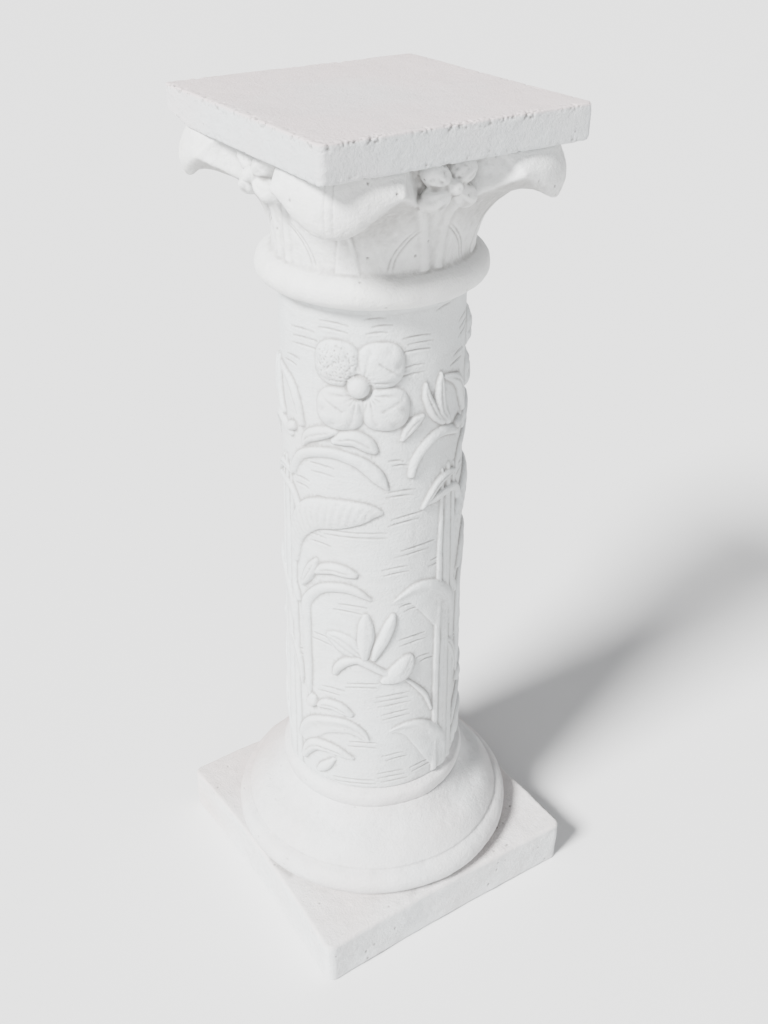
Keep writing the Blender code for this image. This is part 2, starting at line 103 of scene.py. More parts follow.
# Wear, in metres: height and size of the swelling and of the roughness, with their first seed; spacing,
# seed, radius, share and depth of the pits; the smoothing passes and the depth in millimetres that make a
# full crevice, which is darkened with painted shade; and the triangles that are kept
Wear = namedtuple("Wear", "swell swell_size rough rough_size seed pit_spacing pit_seed pit_radius "
                          "pit_share pit_depth crevice_passes crevice_depth triangles")
PLINTH_WEAR = Wear(0.0010, 0.030, 0.00048, 0.007, 11, 0.011, 13, 0.0016, 0.22, 0.0012, 12, 0.5, 120000)
BASE_WEAR = Wear(0.0009, 0.026, 0.00042, 0.006, 31, 0.010, 33, 0.0012, 0.20, 0.0010, 20, 0.7, 160000)
SHAFT_WEAR = Wear(0.00045, 0.022, 0.00028, 0.0065, 44, 0.010, 48, 0.0009, 0.05, 0.0010, 10, 0.28, 196000)
CAPITAL_WEAR = Wear(0.0006, 0.018, 0.00042, 0.0055, 51, 0.009, 54, 0.0013, 0.14, 0.0014, 24, 0.6, 190000)
ABACUS_WEAR = Wear(0.0004, 0.028, 0.00022, 0.006, 24, 0.009, 26, 0.0011, 0.10, 0.0015, 12, 0.4, 180000)

# Sizes of noise in the roughness, cells after which the random fields repeat, the even margin at a seam,
# and how finely the slabs are cut and then split
ROUGHNESS_SIZES = 3
LATTICE_CELLS = 32
PIT_CELLS = 64
SEAM_MARGIN = 0.002
SLAB_CELLS = 9
SLAB_LEVELS = 5

# Camera: where the photo was taken from, and its lens
CAMERA_PLACE = (-0.5036, -0.7671, 0.9836)
CAMERA_LOOK = (0.47616, 0.70669, -0.52332)
CAMERA_RIGHT = (0.83110, -0.55610, 0.00525)
CAMERA_LENS = 40.1
CAMERA_SENSOR = 36.0


def make_camera():
    """The camera of the photo, on the left of the front side and a little above the column's top."""
    data = bpy.data.cameras.new("camera")
    data.sensor_width = CAMERA_SENSOR
    data.lens = CAMERA_LENS
    camera = bpy.data.objects.new("camera", data)
    bpy.context.scene.collection.objects.link(camera)
    look = Vector(CAMERA_LOOK).normalized()
    right = Vector(CAMERA_RIGHT)
    right = (right - right.dot(look) * look).normalized()
    up = right.cross(look)
    turn = Matrix((right, up, -look)).transposed().to_4x4()
    camera.matrix_world = Matrix.Translation(CAMERA_PLACE) @ turn
    bpy.context.scene.camera = camera


make_camera()

# Light: a pale studio; each sun's name, place, softness in degrees, strength and colour
SUNS = [("key", (-3.0, -0.5, 2.7), 16.0, 15.5, (1.0, 1.0, 0.99)),
        ("fill", (-1.4, -2.4, 1.0), 40.0, 1.3, (0.96, 0.98, 1.0))]
WORLD_COLOUR = (0.93, 0.93, 0.95, 1.0)
WORLD_STRENGTH = 0.45
FLOOR_HALF_SIDE = 20.0
FLOOR_COLOUR = (0.72, 0.72, 0.72, 1.0)
FLOOR_ROUGHNESS = 0.9


def add_sun(name, place, softness, strength, colour):
    """A wide, far light that shines from a place towards the column."""
    data = bpy.data.lights.new(name, 'SUN')
    data.angle = math.radians(softness)
    data.energy = strength
    data.color = colour
    lamp = bpy.data.objects.new(name, data)
    bpy.context.scene.collection.objects.link(lamp)
    lamp.location = place
    lamp.rotation_euler = (-Vector(place)).to_track_quat('-Z', 'Y').to_euler()


def make_light():
    world = bpy.data.worlds.new("pale studio")
    bpy.context.scene.world = world
    world.use_nodes = True
    background = world.node_tree.nodes['Background']
    background.inputs['Color'].default_value = WORLD_COLOUR
    background.inputs['Strength'].default_value = WORLD_STRENGTH
    for sun in SUNS:
        add_sun(*sun)


def make_floor():
    bm = bmesh.new()
    bmesh.ops.create_grid(bm, x_segments=1, y_segments=1, size=FLOOR_HALF_SIDE)
    mesh = bpy.data.meshes.new("floor")
    bm.to_mesh(mesh)
    bm.free()
    floor = bpy.data.objects.new("floor", mesh)
    bpy.context.scene.collection.objects.link(floor)
    material = bpy.data.materials.new("pale floor")
    material.use_nodes = True
    shader = material.node_tree.nodes['Principled BSDF']
    shader.inputs['Base Color'].default_value = FLOOR_COLOUR
    shader.inputs['Roughness'].default_value = FLOOR_ROUGHNESS
    mesh.materials.append(material)


make_light()
make_floor()


# Mesh helpers
def mesh_from(bm, name):
    """Merge, turn outwards and hand over a bmesh."""
    bmesh.ops.remove_doubles(bm, verts=bm.verts[:], dist=0.000001)
    bmesh.ops.recalc_face_normals(bm, faces=bm.faces[:])
    mesh = bpy.data.meshes.new(name)
    bm.to_mesh(mesh)
    bm.free()
    return mesh


def with_modifier(mesh, kind, **settings):
    """The mesh after one modifier."""
    item = bpy.data.objects.new("draft", mesh)
    bpy.context.scene.collection.objects.link(item)
    modifier = item.modifiers.new("step", kind)
    for key, value in settings.items():
        setattr(modifier, key, value)
    bpy.context.view_layer.update()
    made = bpy.data.meshes.new_from_object(item.evaluated_get(bpy.context.evaluated_depsgraph_get()))
    bpy.data.objects.remove(item, do_unlink=True)
    bpy.data.meshes.remove(mesh)
    return made


def split_faces(mesh, levels):
    """Split every face into four, levels times, without smoothing."""
    return with_modifier(mesh, 'SUBSURF', subdivision_type='SIMPLE', levels=levels, render_levels=levels)


def thin_faces(mesh, triangles):
    """Keep about this many triangles, most of them where the surface bends."""
    mesh.calc_loop_triangles()
    ratio = min(1.0, triangles / len(mesh.loop_triangles))
    return with_modifier(mesh, 'DECIMATE', decimate_type='COLLAPSE', ratio=ratio)


def read_vectors(mesh, what):
    """The points' places or normals as an array."""
    values = np.empty(len(mesh.vertices) * 3, dtype=np.float32)
    mesh.vertices.foreach_get(what, values)
    return values.reshape(-1, 3).astype(np.float64)


def write_points(mesh, places):
    mesh.vertices.foreach_set("co", places.astype(np.float32).ravel())
    mesh.update()


def write_values(mesh, name, values):
    """Store one number for each point, for the materials to read."""
    layer = mesh.attributes.new(name, 'FLOAT', 'POINT')
    layer.data.foreach_set("value", values.astype(np.float32))


def crevices(mesh, passes):
    """How deep each point lies in a crevice, in millimetres; below zero on a ridge."""
    smooth = with_modifier(mesh.copy(), 'SMOOTH', factor=0.5, iterations=passes)
    rise = read_vectors(smooth, "co") - read_vectors(mesh, "co")
    depth = (rise * read_vectors(mesh, "normal")).sum(axis=1) * 1000
    bpy.data.meshes.remove(smooth)
    return depth


def add_piece(name, mesh, node, material):
    """Put a finished piece in the scene, in place of a node of the solids."""
    item = bpy.data.objects.new(name, mesh)
    bpy.context.scene.collection.objects.link(item)
    mesh.shade_smooth()
    mesh.materials.clear()
    mesh.materials.append(material)
    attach(item, "root")
    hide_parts(node)
    return item


# Number fields
def ease(low, high, value):
    """0 up to low, 1 from high on and smooth between; low may be the larger number."""
    share = np.clip((value - low) / (high - low), 0.0, 1.0)
    return share * share * (3 - 2 * share)


def bump_at(value, centre, width):
    """A soft bump, 1 at its centre."""
    return np.exp(-((value - centre) / width) ** 2)


def blend_max(first, second, softness):
    """The larger of two fields, with a fillet where they cross."""
    share = np.clip(0.5 + 0.5 * (second - first) / softness, 0.0, 1.0)
    return first * (1 - share) + second * share + softness * share * (1 - share)


def lattice_noise(places, size, seed):
    """Smooth random values from -1 to 1 in space, with features of the given size."""
    lattice = np.random.default_rng(seed).random((LATTICE_CELLS,) * 3)
    scaled = places / size
    base = np.floor(scaled).astype(int)
    part = scaled - base
    part = part * part * (3 - 2 * part)
    total = np.zeros(len(places))
    for corner in range(8):
        step = [(corner >> axis) & 1 for axis in range(3)]
        weight = np.ones(len(places))
        for axis in range(3):
            weight *= part[:, axis] if step[axis] else 1 - part[:, axis]
        index = [(base[:, axis] + step[axis]) % LATTICE_CELLS for axis in range(3)]
        total += weight * lattice[index[0], index[1], index[2]]
    return total * 2 - 1


def rough_noise(places, size, seed):
    """Several sizes of smooth noise together."""
    total = np.zeros(len(places))
    for octave in range(ROUGHNESS_SIZES):
        total += lattice_noise(places, size / 2 ** octave, seed + octave) / 2 ** octave
    return total / (2 - 2 ** (1 - ROUGHNESS_SIZES))


def pits(places, size, seed, radius, share):
    """Round holes at random lattice points: 1 in a hole's middle and 0 outside."""
    generator = np.random.default_rng(seed)
    offsets = generator.random((PIT_CELLS, PIT_CELLS, PIT_CELLS, 3)) * 0.6 + 0.2
    chosen = generator.random((PIT_CELLS,) * 3) < share
    scaled = places / size
    base = np.floor(scaled).astype(int)
    index = tuple(base[:, axis] % PIT_CELLS for axis in range(3))
    distance = np.linalg.norm(scaled - base - offsets[index], axis=1) * size
    return np.where(chosen[index], np.clip(1 - (distance / radius) ** 2, 0.0, 1.0), 0.0)


def worn_pits(places, wear):
    return pits(places, wear.pit_spacing, wear.pit_seed, wear.pit_radius, wear.pit_share)


def unevenness(places, wear):
    """How far a cast surface swells and roughens, in metres."""
    swell = wear.swell * lattice_noise(places, wear.swell_size, wear.seed)
    return swell + wear.rough * rough_noise(places, wear.rough_size, wear.seed + 1)


def full_crevices(mesh, wear):
    return crevices(mesh, wear.crevice_passes) / wear.crevice_depth


def off_seams(height, low, high):
    """0 at a piece's lower and upper face, 1 between them."""
    return ease(low, low + SEAM_MARGIN, height) * (1 - ease(high - SEAM_MARGIN, high, height))


def spline(before, start, stop, after, t):
    """A point on the smooth curve from start to stop, at the share t of the way."""
    return 0.5 * (2 * start + (stop - before) * t + (2 * before - 5 * start + 4 * stop - after) * t * t
                  + (3 * start - before - 3 * stop + after) * t ** 3)


# Slabs
def slab_blank(side, low, thickness):
    """A block whose horizontal edges are cut into cells and then split further."""
    bm = bmesh.new()
    bmesh.ops.create_cube(bm, size=1.0)
    flat = [edge for edge in bm.edges if abs(edge.verts[0].co.z - edge.verts[1].co.z) < 0.1]
    bmesh.ops.subdivide_edges(bm, edges=flat, cuts=SLAB_CELLS - 1, use_grid_fill=True)
    bmesh.ops.scale(bm, vec=(side, side, thickness), verts=bm.verts[:])
    bmesh.ops.translate(bm, vec=(0, 0, low + thickness / 2), verts=bm.verts[:])
    return split_faces(mesh_from(bm, "slab"), SLAB_LEVELS)


def round_slab(places, side, low, thickness, corner_radius, edge_radius):
    """Round the upright corners and then the rims of a block's points."""
    half = side / 2
    level = places[:, :2]
    over = np.clip(np.abs(level) - (half - corner_radius), 0.0, None)
    reach = np.maximum(over.max(axis=1), 1e-9)
    length = np.maximum(np.hypot(over[:, 0], over[:, 1]), 1e-9)
    both = (over[:, 0] > 0) & (over[:, 1] > 0)
    shrink = np.where(both, reach / length, 1.0)[:, None]
    rim_out = np.clip(np.abs(level).max(axis=1) - (half - edge_radius), 0.0, None)
    level = np.sign(level) * (np.abs(level) - over + over * shrink)
    middle = low + thickness / 2
    height = places[:, 2] - middle
    rim_up = np.clip(np.abs(height) - (thickness / 2 - edge_radius), 0.0, None)
    length = np.maximum(np.hypot(rim_out, rim_up), 1e-9)
    squash = np.maximum(rim_out, rim_up) / length
    pull_in = rim_out * (1 - squash)
    away = np.maximum(np.hypot(level[:, 0], level[:, 1]), 1e-9)
    side_normal = np.where(np.abs(places[:, :2]) >= np.abs(places[:, :2]).max(axis=1)[:, None] - 1e-9,
                           np.sign(places[:, :2]), 0.0)
    corner_normal = level / away[:, None]
    normal = np.where(both[:, None], corner_normal, side_normal)
    level = level - normal * pull_in[:, None]
    height = np.sign(height) * (np.abs(height) - rim_up * (1 - squash))
    return np.column_stack([level, height + middle])


def make_plinth(material):
    """The slab on the ground, with soft arrises, two sides that bow inwards and a patchy darker ring round
    the torus; painted shade in its crevices and a painted pink reflection on its top and rear sides.
    """
    wear = PLINTH_WEAR
    side = PLINTH_HIGH[0] - PLINTH_LOW[0]
    low, thickness = PLINTH_LOW[2], PLINTH_HIGH[2] - PLINTH_LOW[2]
    mesh = slab_blank(side, low, thickness)
    block = read_vectors(mesh, "co")
    places = round_slab(block, side, low, thickness, PLINTH_CORNER_RADIUS, PLINTH_EDGE_RADIUS)
    half = side / 2
    left = np.clip(-block[:, 0] / half, 0, 1) ** 4 * (1 - (block[:, 1] / half) ** 2)
    front = np.clip(-block[:, 1] / half, 0, 1) ** 4 * (1 - (block[:, 0] / half) ** 2)
    places[:, 0] += PLINTH_BOW_LEFT * left
    places[:, 1] += PLINTH_BOW_FRONT * front
    write_points(mesh, places)
    normals = read_vectors(mesh, "normal")
    off_ground = ease(low + 0.001, low + 0.004, places[:, 2])
    holes = worn_pits(places, wear)
    swell = unevenness(places, wear)
    radius = np.hypot(places[:, 0], places[:, 1])
    joint = bump_at(radius, BASE_RADIUS - 0.005, 0.004) * ease(-0.1, 0.3, lattice_noise(places, 0.02, 15))
    places += normals * ((swell - wear.pit_depth * holes) * off_ground)[:, None]
    write_points(mesh, places)
    on_top = ease(PLINTH_HIGH[2] - 0.004, PLINTH_HIGH[2] - 0.001, places[:, 2])
    # Grey in the pits, a patchy darker ring round the torus's foot, and painted shade in the crevices
    deep = holes + 0.8 * joint * on_top + full_crevices(mesh, wear)
    write_values(mesh, "hollow", np.clip(deep, 0, 1) * off_ground)
    # Painted pink reflection on the rear sides and on the top
    away = ease(0.05, 0.12, places[:, 1])
    away += ease(0.08, 0.14, places[:, 0]) * ease(-0.02, 0.08, places[:, 1])
    write_values(mesh, "painted_pink_reflection", np.clip(away * 0.6 + on_top * 0.5, 0, 1))
    mesh = thin_faces(mesh, wear.triangles)
    return add_piece("plinth_cast", mesh, "plinth", material)


def make_abacus(material):
    """The top slab, with crumbling arrises, small voids and a broken lower corner."""
    wear = ABACUS_WEAR
    side = ABACUS_HIGH[0] - ABACUS_LOW[0]
    low, thickness = ABACUS_LOW[2], ABACUS_HIGH[2] - ABACUS_LOW[2]
    mesh = slab_blank(side, low, thickness)
    block = read_vectors(mesh, "co")
    places = round_slab(block, side, low, thickness, ABACUS_CORNER_RADIUS, ABACUS_EDGE_RADIUS)
    write_points(mesh, places)
    normals = read_vectors(mesh, "normal")
    half = side / 2
    outer = ease(half - 0.009, half - 0.001, np.abs(block[:, :2]).max(axis=1))
    top_arris = outer * ease(low + thickness - 0.007, low + thickness - 0.001, block[:, 2])
    low_arris = outer * (1 - ease(low + 0.001, low + 0.006, block[:, 2]))
    crumble = np.clip(rough_noise(places, 0.0042, 21) - 0.05, 0, None)
    swell = wear.swell * lattice_noise(places, wear.swell_size, wear.seed)
    streak = 0.00005 * lattice_noise(places * np.array([0.25, 0.25, 1.0]), 0.0022, 25)
    streak += wear.rough * rough_noise(places, wear.rough_size, 28)
    holes = worn_pits(places, wear) * (0.3 + 0.7 * top_arris)
    crumbled = CRUMBLE_DEPTH * crumble * (top_arris + 0.6 * low_arris)
    places += normals * (swell + streak - crumbled - wear.pit_depth * holes)[:, None]
    corner = (np.array([-half, half]) - block[:, :2]) @ np.array([-1.0, 1.0]) / math.sqrt(2)
    break_level = low + BREAK_HEIGHT * (1 - ease(0.0, BREAK_LENGTH, corner))
    break_level += 0.0006 * lattice_noise(places, 0.004, 27)
    broken = (corner < BREAK_LENGTH) & (places[:, 2] < break_level)
    places[:, 2] = np.where(broken, break_level, places[:, 2])
    write_points(mesh, places)
    # Grey in the pits and on the crumbled arrises, and painted shade in the crevices
    deep = holes * 1.4 + crumble * top_arris * 1.2 + full_crevices(mesh, wear)
    write_values(mesh, "hollow", np.clip(deep, 0, 1))
    # Painted pink reflection on the top, paler near its middle, and faintly towards the rear
    on_top = ease(low + thickness - 0.003, low + thickness - 0.0005, block[:, 2])
    middle = bump_at(np.hypot(places[:, 0] + 0.02, places[:, 1] - 0.02), 0.0, 0.065)
    write_values(mesh, "painted_pink_reflection", on_top * (1 - 0.55 * middle) + 0.25 * ease(0.0, 0.1, places[:, 1]))
    mesh = thin_faces(mesh, wear.triangles)
    return add_piece("abacus_cast", mesh, "abacus", material)


# Turned pieces
def spin_profile(profile, steps, name):
    """Turn a profile of (radius, height) points round the upright axis."""
    bm = bmesh.new()
    points = [bm.verts.new((radius, 0.0, height)) for radius, height in profile]
    edges = [bm.edges.new((first, second)) for first, second in zip(points, points[1:])]
    bmesh.ops.spin(bm, geom=points + edges, cent=(0, 0, 0), axis=(0, 0, 1), dvec=(0, 0, 0),
                   angle=2 * math.pi, steps=steps, use_merge=True, use_duplicate=False)
    return mesh_from(bm, name)


def bend_to_circle(places, steps):
    """Move points on the chords of a turned shape out to the arc."""
    step = 2 * math.pi / steps
    angle = np.mod(np.arctan2(places[:, 1], places[:, 0]), step) - step / 2
    places[:, :2] *= (np.cos(angle) / math.cos(step / 2))[:, None]
    return places


def along_profile(corners, spacing):
    """Points along straight runs between the corners, no further apart than the spacing."""
    points = [corners[0]]
    for start, stop in zip(corners, corners[1:]):
        count = max(1, math.ceil(math.dist(start, stop) / spacing))
        for index in range(1, count + 1):
            share = index / count
            points.append(tuple(first + (last - first) * share for first, last in zip(start, stop)))
    return points


def ellipse_arc(centre, radii, start, stop, count):
    """Points along part of an ellipse in the profile plane, between two angles in degrees."""
    points = []
    for index in range(count + 1):
        angle = math.radians(start + (stop - start) * index / count)
        points.append((centre[0] + radii[0] * math.cos(angle), centre[1] + radii[1] * math.sin(angle)))
    return points


def base_profile():
    """From the axis down the band, the flare and the torus, and back to the axis."""
    bottom, top = BASE_LOW[2], BASE_HIGH[2]
    torus_top = bottom + TORUS_HEIGHT
    flare_top = torus_top + FLARE_HEIGHT
    flare_outer = BASE_RADIUS - FLARE_SHOULDER
    flare_inner = SHAFT_FOOT_RADIUS + BAND_PROUD
    band_foot = flare_inner - GROOVE_DEPTH
    corners = [(0.0, top), (SHAFT_FOOT_RADIUS, top)]
    corners += ellipse_arc((band_foot - GROOVE_WIDTH, flare_top + BAND_HEIGHT * 0.42),
                           (GROOVE_WIDTH * 1.6, BAND_HEIGHT * 0.42), 60, -70, 16)
    corners.append((band_foot, flare_top + GROOVE_WIDTH / 3))
    for index in range(33):
        share = index / 32
        fall = share + FLARE_CURL * math.sin(2 * math.pi * share) / (2 * math.pi)
        corners.append((flare_inner + (flare_outer - flare_inner) * share,
                        flare_top - (FLARE_HEIGHT - GROOVE_WIDTH) * fall))
    corners.append((flare_outer - GROOVE_DEPTH, torus_top + GROOVE_WIDTH / 3))
    tube = TORUS_HEIGHT / 2
    corners += ellipse_arc((BASE_RADIUS - tube, bottom + tube), (tube, tube), 70, -90, 32)
    corners.append((0.0, bottom))
    return along_profile(corners, PROFILE_SPACING)


def make_base(material):
    """Torus, flare and band, turned as one and left slightly uneven."""
    wear = BASE_WEAR
    mesh = split_faces(spin_profile(base_profile(), BASE_STEPS, "base"), 1)
    write_points(mesh, bend_to_circle(read_vectors(mesh, "co"), BASE_STEPS))
    mesh = with_modifier(mesh, 'SMOOTH', factor=0.5, iterations=BASE_SMOOTHING)
    places = read_vectors(mesh, "co")
    normals = read_vectors(mesh, "normal")
    inner = ease(0.03, 0.08, np.hypot(places[:, 0], places[:, 1]))
    holes = worn_pits(places, wear)
    swell = unevenness(places, wear)
    ends = off_seams(places[:, 2], BASE_LOW[2], BASE_HIGH[2])
    places += normals * ((swell - wear.pit_depth * holes) * inner * ends)[:, None]
    write_points(mesh, places)
    # Grey in the pits, and painted shade in the crevices
    write_values(mesh, "hollow", np.clip(holes + full_crevices(mesh, wear), 0, 0.8) * ends)
    # Painted pink reflection on the rear
    away = ease(0.02, 0.11, places[:, 1])
    away += ease(0.06, 0.13, places[:, 0]) * ease(-0.04, 0.06, places[:, 1])
    write_values(mesh, "painted_pink_reflection", np.clip(away * 0.8, 0, 1))
    mesh = thin_faces(mesh, wear.triangles)
    return add_piece("base_turned", mesh, "base", material)


# Shaft carving
PANELS = 3
PANEL_MIDDLE = -129.3
MAP_STEP = 0.5
DRAWN_HEIGHT = 508.0
PER_DEGREE = math.radians(1) * SHAFT_MEAN_RADIUS * 1000
MAP_WIDTH = 360 / PANELS * PER_DEGREE
MAP_COLUMNS = round(MAP_WIDTH / MAP_STEP)
MAP_ROWS = round(DRAWN_HEIGHT / MAP_STEP)

# Each stroke: its kind, its relief in millimetres, and points of degrees across from the panel's middle,
# millimetres above the shaft's foot and width in millimetres
STROKES = [
    ("rib", 2.6, [(51.6, 0, 8), (51.8, 90, 8), (52.4, 185, 8), (53, 260, 7), (54, 350, 3)]),
    ("rib", 3.0, [(59.6, 0, 14), (59.8, 100, 14), (60, 190, 13), (60, 270, 11), (60, 352, 5)]),
    ("rib", 2.6, [(68.4, 0, 9), (68.0, 90, 9), (67.4, 185, 9), (67, 260, 8), (66, 350, 3)]),
    ("leaf", 4.0, [(-40, 376, 4), (-36, 385, 11), (-29, 391, 13), (-22, 395, 11), (-16, 397, 5)]),
    ("leaf", 4.6, [(-17, 388, 6), (-11, 392, 13), (-4, 393, 15), (3, 388, 14), (7, 383, 8)]),
    ("leaf", 3.6, [(37, 409, 5), (30, 403, 12), (24, 391, 4)]),
    ("leaf", 4.0, [(54, 438, 4), (68, 428, 12), (74, 414, 13), (79, 396, 8)]),
    ("leaf", 4.0, [(53, 397, 6), (48, 404, 9), (44, 413, 11), (40, 426, 9), (39, 437, 4)]),
    ("leaf", 4.4, [(58, 396, 8), (52, 408, 12), (50, 420, 13), (50, 432, 10), (50.5, 442, 4)]),
    ("band", 4.2, [(-51, 345, 8), (-44, 362, 9), (-32, 372, 9.5), (-18, 376, 10), (-4, 372, 11),
                   (4, 365, 13), (10, 356, 12), (15, 345, 3)]),
    ("band", 4.2, [(68, 381, 8), (58, 387, 10), (48, 388, 10), (39, 381, 10), (32, 368, 9),
                   (30, 356, 7)]),
    ("round", 4.4, [(68, 387, 9), (71, 389, 9)]),
    ("plume", 6.2, [(-51, 253, 9), (-49, 278, 17), (-42, 298, 26), (-32, 311, 30), (-18, 317, 30),
                    (-4, 321, 23), (5, 323, 13), (11, 322, 5)]),
    ("leaf", 4.4, [(-43, 231, 6), (-39, 241, 11), (-35, 252, 12), (-31, 263, 5)]),
    ("leaf", 4.2, [(-31, 251, 6), (-25, 257, 11), (-18, 260, 12.5), (-11, 259, 12), (-5, 257, 7)]),
    ("round", 3.4, [(-48, 209, 6), (-50, 217, 9), (-52, 226, 4)]),
    ("leaf", 3.6, [(38, 320, 4), (42, 327, 8), (49, 338, 10), (57, 343, 10), (68, 342, 5)]),
    ("band", 4.0, [(42, 323, 5), (48, 325, 9), (57, 327, 10), (67, 325, 10), (73, 314, 10), (77, 302, 9),
                   (80, 288, 4)]),
    ("band", 4.2, [(-40.5, 196, 11), (-40, 212, 11), (-33, 227, 10), (-24, 237, 10), (-13, 241, 10),
                   (-4, 239, 9), (5, 231, 3)]),
    ("rib", 3.4, [(-39, 100, 3), (-39.6, 118, 8), (-40.4, 150, 11), (-40.5, 198, 11)]),
    ("hood", 5.0, [(19, 226, 3), (27, 230, 13), (36, 231, 24), (46, 222, 34), (55, 207, 37),
                   (60, 187, 28)]),
    ("hood", 4.6, [(18, 74, 3), (26, 75, 12), (35, 70, 22), (44, 55, 30), (52, 36, 32), (57, 12, 22)]),
    ("leaf", 3.6, [(57, 163, 5), (65, 153, 11), (70, 138, 11), (73, 124, 8), (73.4, 110, 3)]),
    ("petal", 4.2, [(2, 212, 7), (2, 202, 14), (2, 190, 16), (1, 176, 13), (1, 164, 7)]),
    ("petal", 4.4, [(19, 212, 6), (17, 203, 11), (14, 190, 12), (10, 176, 10), (7, 164, 5)]),
    ("lined", 3.0, [(-21, 184, 10), (-16, 182, 18), (-10, 177, 22), (-4, 170, 14)]),
    ("band", 5.2, [(-18, 143, 6), (-16, 150, 9), (-11, 158, 10), (-3, 162, 9), (5, 156, 8), (12, 149, 7),
                   (18, 143, 6)]),
    ("ball", 5.4, [(14, 138, 8), (19, 142, 17), (24, 147, 23), (28, 156, 17), (30, 162, 6)]),
    ("round", 2.4, [(29, 134, 3), (36, 122, 4.5), (43, 107, 5), (48, 86, 3)]),
    ("leaf", 4.2, [(-31, 95, 5), (-26, 100, 11), (-20, 102, 12), (-14, 100, 12), (-8, 95, 6)]),
    ("round", 4.6, [(-38.5, 92, 9), (-36.5, 96, 12), (-35.5, 101, 9)]),
    ("hood", 4.4, [(-46, 43, 13), (-42, 53, 19), (-36, 63, 22), (-27, 73, 20), (-14, 79, 18),
                   (-5, 76, 13), (0, 70, 9), (3, 63, 4)]),
    ("leaf", 4.6, [(-46, 17, 8), (-42, 29, 12), (-36, 40, 14), (-28, 45, 14), (-18, 45, 12),
                   (-7, 39, 4)]),
    ("round", 3.8, [(-20, 32, 4), (-24, 24, 9), (-28, 17, 10), (-32, 10, 5)]),
]

# Flower near the top: each petal's degrees across, height, two half sizes in millimetres and lean in
# degrees
PETALS = [(-14.6, 459, 21, 20, 35), (11.0, 459, 21, 20, -35), (14.2, 420, 21, 19.5, 30),
          (-13.0, 419, 22, 19.5, -30)]
FLOWER_MIDDLE = (-1.8, 440)
PETAL_RELIEF = 6.4
PETAL_SQUARENESS = 2.5
BUTTON_RADIUS = 9.5
BUTTON_RELIEF = 7.6
BOLDNESS = 1.18
NECK_LIP = 0.0014
SHAFT_STEPS = 225
SHAFT_ROWS = 160
GROUND_SOFTENING = 14

# Incised dashes: start and end in degrees across, height of the first line, number of lines and
# their spacing
DASHES = [(4, 16, 498, 3, 6), (16, 25, 371, 2, 5), (17, 34, 341, 2, 5), (16, 36, 315, 2, 6),
          (22, 46, 281, 2, 6), (14, 30, 263, 2, 6), (46, 66, 260, 2, 6), (-34, -17, 361, 2, 8),
          (-46, -34, 341, 2, 7), (-24, 16, 300, 2, 5), (-38, -22, 289, 2, 7), (22, 40, 183, 2, 7),
          (38, 48, 156, 2, 6), (-30, -14, 121, 2, 7), (-12, 8, 133, 2, 5), (8, 30, 118, 3, 6),
          (12, 30, 96, 2, 6), (-36, -22, 180, 2, 7), (-18, 0, 222, 2, 7), (24, 36, 221, 2, 6),
          (14, 28, 43, 2, 6), (10, 28, 20, 3, 6), (-22, 6, 10, 2, 5), (-10, 8, 60, 2, 6),
          (-50, -30, 480, 3, 7), (-24, -6, 492, 2, 6), (26, 44, 480, 3, 6), (20, 36, 455, 2, 7),
          (-58, -44, 452, 2, 7), (32, 50, 20, 2, 6), (-52, -44, 150, 2, 7), (48, 60, 505, 2, 6),
          (-30, -20, 330, 2, 6), (-58, -46, 300, 2, 6)]
DASH_LEAN = (-2.0, 3.0)
DASH_SHIFT = 2.5
DASH_DEPTH = (0.8, 1.35)
DASH_HALF_WIDTH = 0.75
ROUTE_STEPS = 6


def smooth_route(points):
    """Points along a smooth curve through the given ones, with the widths carried along."""
    ends = np.array([points[0], *points, points[-1]], dtype=float)
    route = []
    for four in zip(ends, ends[1:], ends[2:], ends[3:]):
        route += [spline(*four, step / ROUTE_STEPS) for step in range(ROUTE_STEPS)]
    route.append(ends[-1])
    return np.array(route)


def patch(low, high):
    """The map's cells between two corners in millimetres: their places, and their indices in the map."""
    columns = np.arange(math.floor(low[0] / MAP_STEP), math.ceil(high[0] / MAP_STEP) + 1)
    first, last = math.floor(low[1] / MAP_STEP), math.ceil(high[1] / MAP_STEP)
    rows = np.arange(max(first, 0), min(last, MAP_ROWS - 1) + 1)
    x, y = np.meshgrid(columns * MAP_STEP, rows * MAP_STEP)
    return x, y, np.ix_(rows, columns % MAP_COLUMNS)


def stroke_shape(kind, side, along, inside, run):
    """Relief of a stroke as a share: side is -1 to 1 across it, along 0 to 1 down its length, and
    inside 1 on its middle line and 0 at its edge."""
    swell = np.sqrt(np.clip(1 - (1 - inside) ** 2, 0, 1))
    if kind == "leaf":
        groove = 0.22 * bump_at(side, 0.0, 0.20) * ease(0.02, 0.2, along) * (1 - ease(0.8, 1.0, along))
        return swell ** 1.1 * (1 - groove)
    if kind == "petal":
        return swell ** 1.1 * (1 - 0.10 * bump_at(side, 0.25, 0.25))
    if kind == "band":
        return swell * (0.80 + 0.20 * side)
    if kind == "rib":
        return swell * (1 - 0.12 * bump_at(side, 0.3, 0.2))
    if kind == "hood":
        rim = 0.42 + 0.58 * bump_at(side, 0.72, 0.42)
        return swell ** 0.6 * rim * (1 - 0.10 * bump_at(side, -0.1, 0.12) * ease(0.3, 0.6, along))
    if kind == "plume":
        comb = 0.5 + 0.5 * np.cos(2 * math.pi * (run / 7.5 - side * 0.9))
        return swell ** 0.7 * (0.9 - 0.11 * comb * ease(0.0, 0.2, inside)) * (0.86 + 0.14 * side)
    if kind == "lined":
        lines = 0.5 + 0.5 * np.cos(2 * math.pi * side * 1.7)
        return swell ** 0.7 * (0.72 + 0.28 * lines)
    if kind == "ball":
        turns = bump_at(side, -0.35, 0.14) + bump_at(side, -0.05, 0.14)
        return swell ** 0.9 * (1 - 0.12 * turns * ease(0.3, 0.5, along))
    return swell ** 0.8


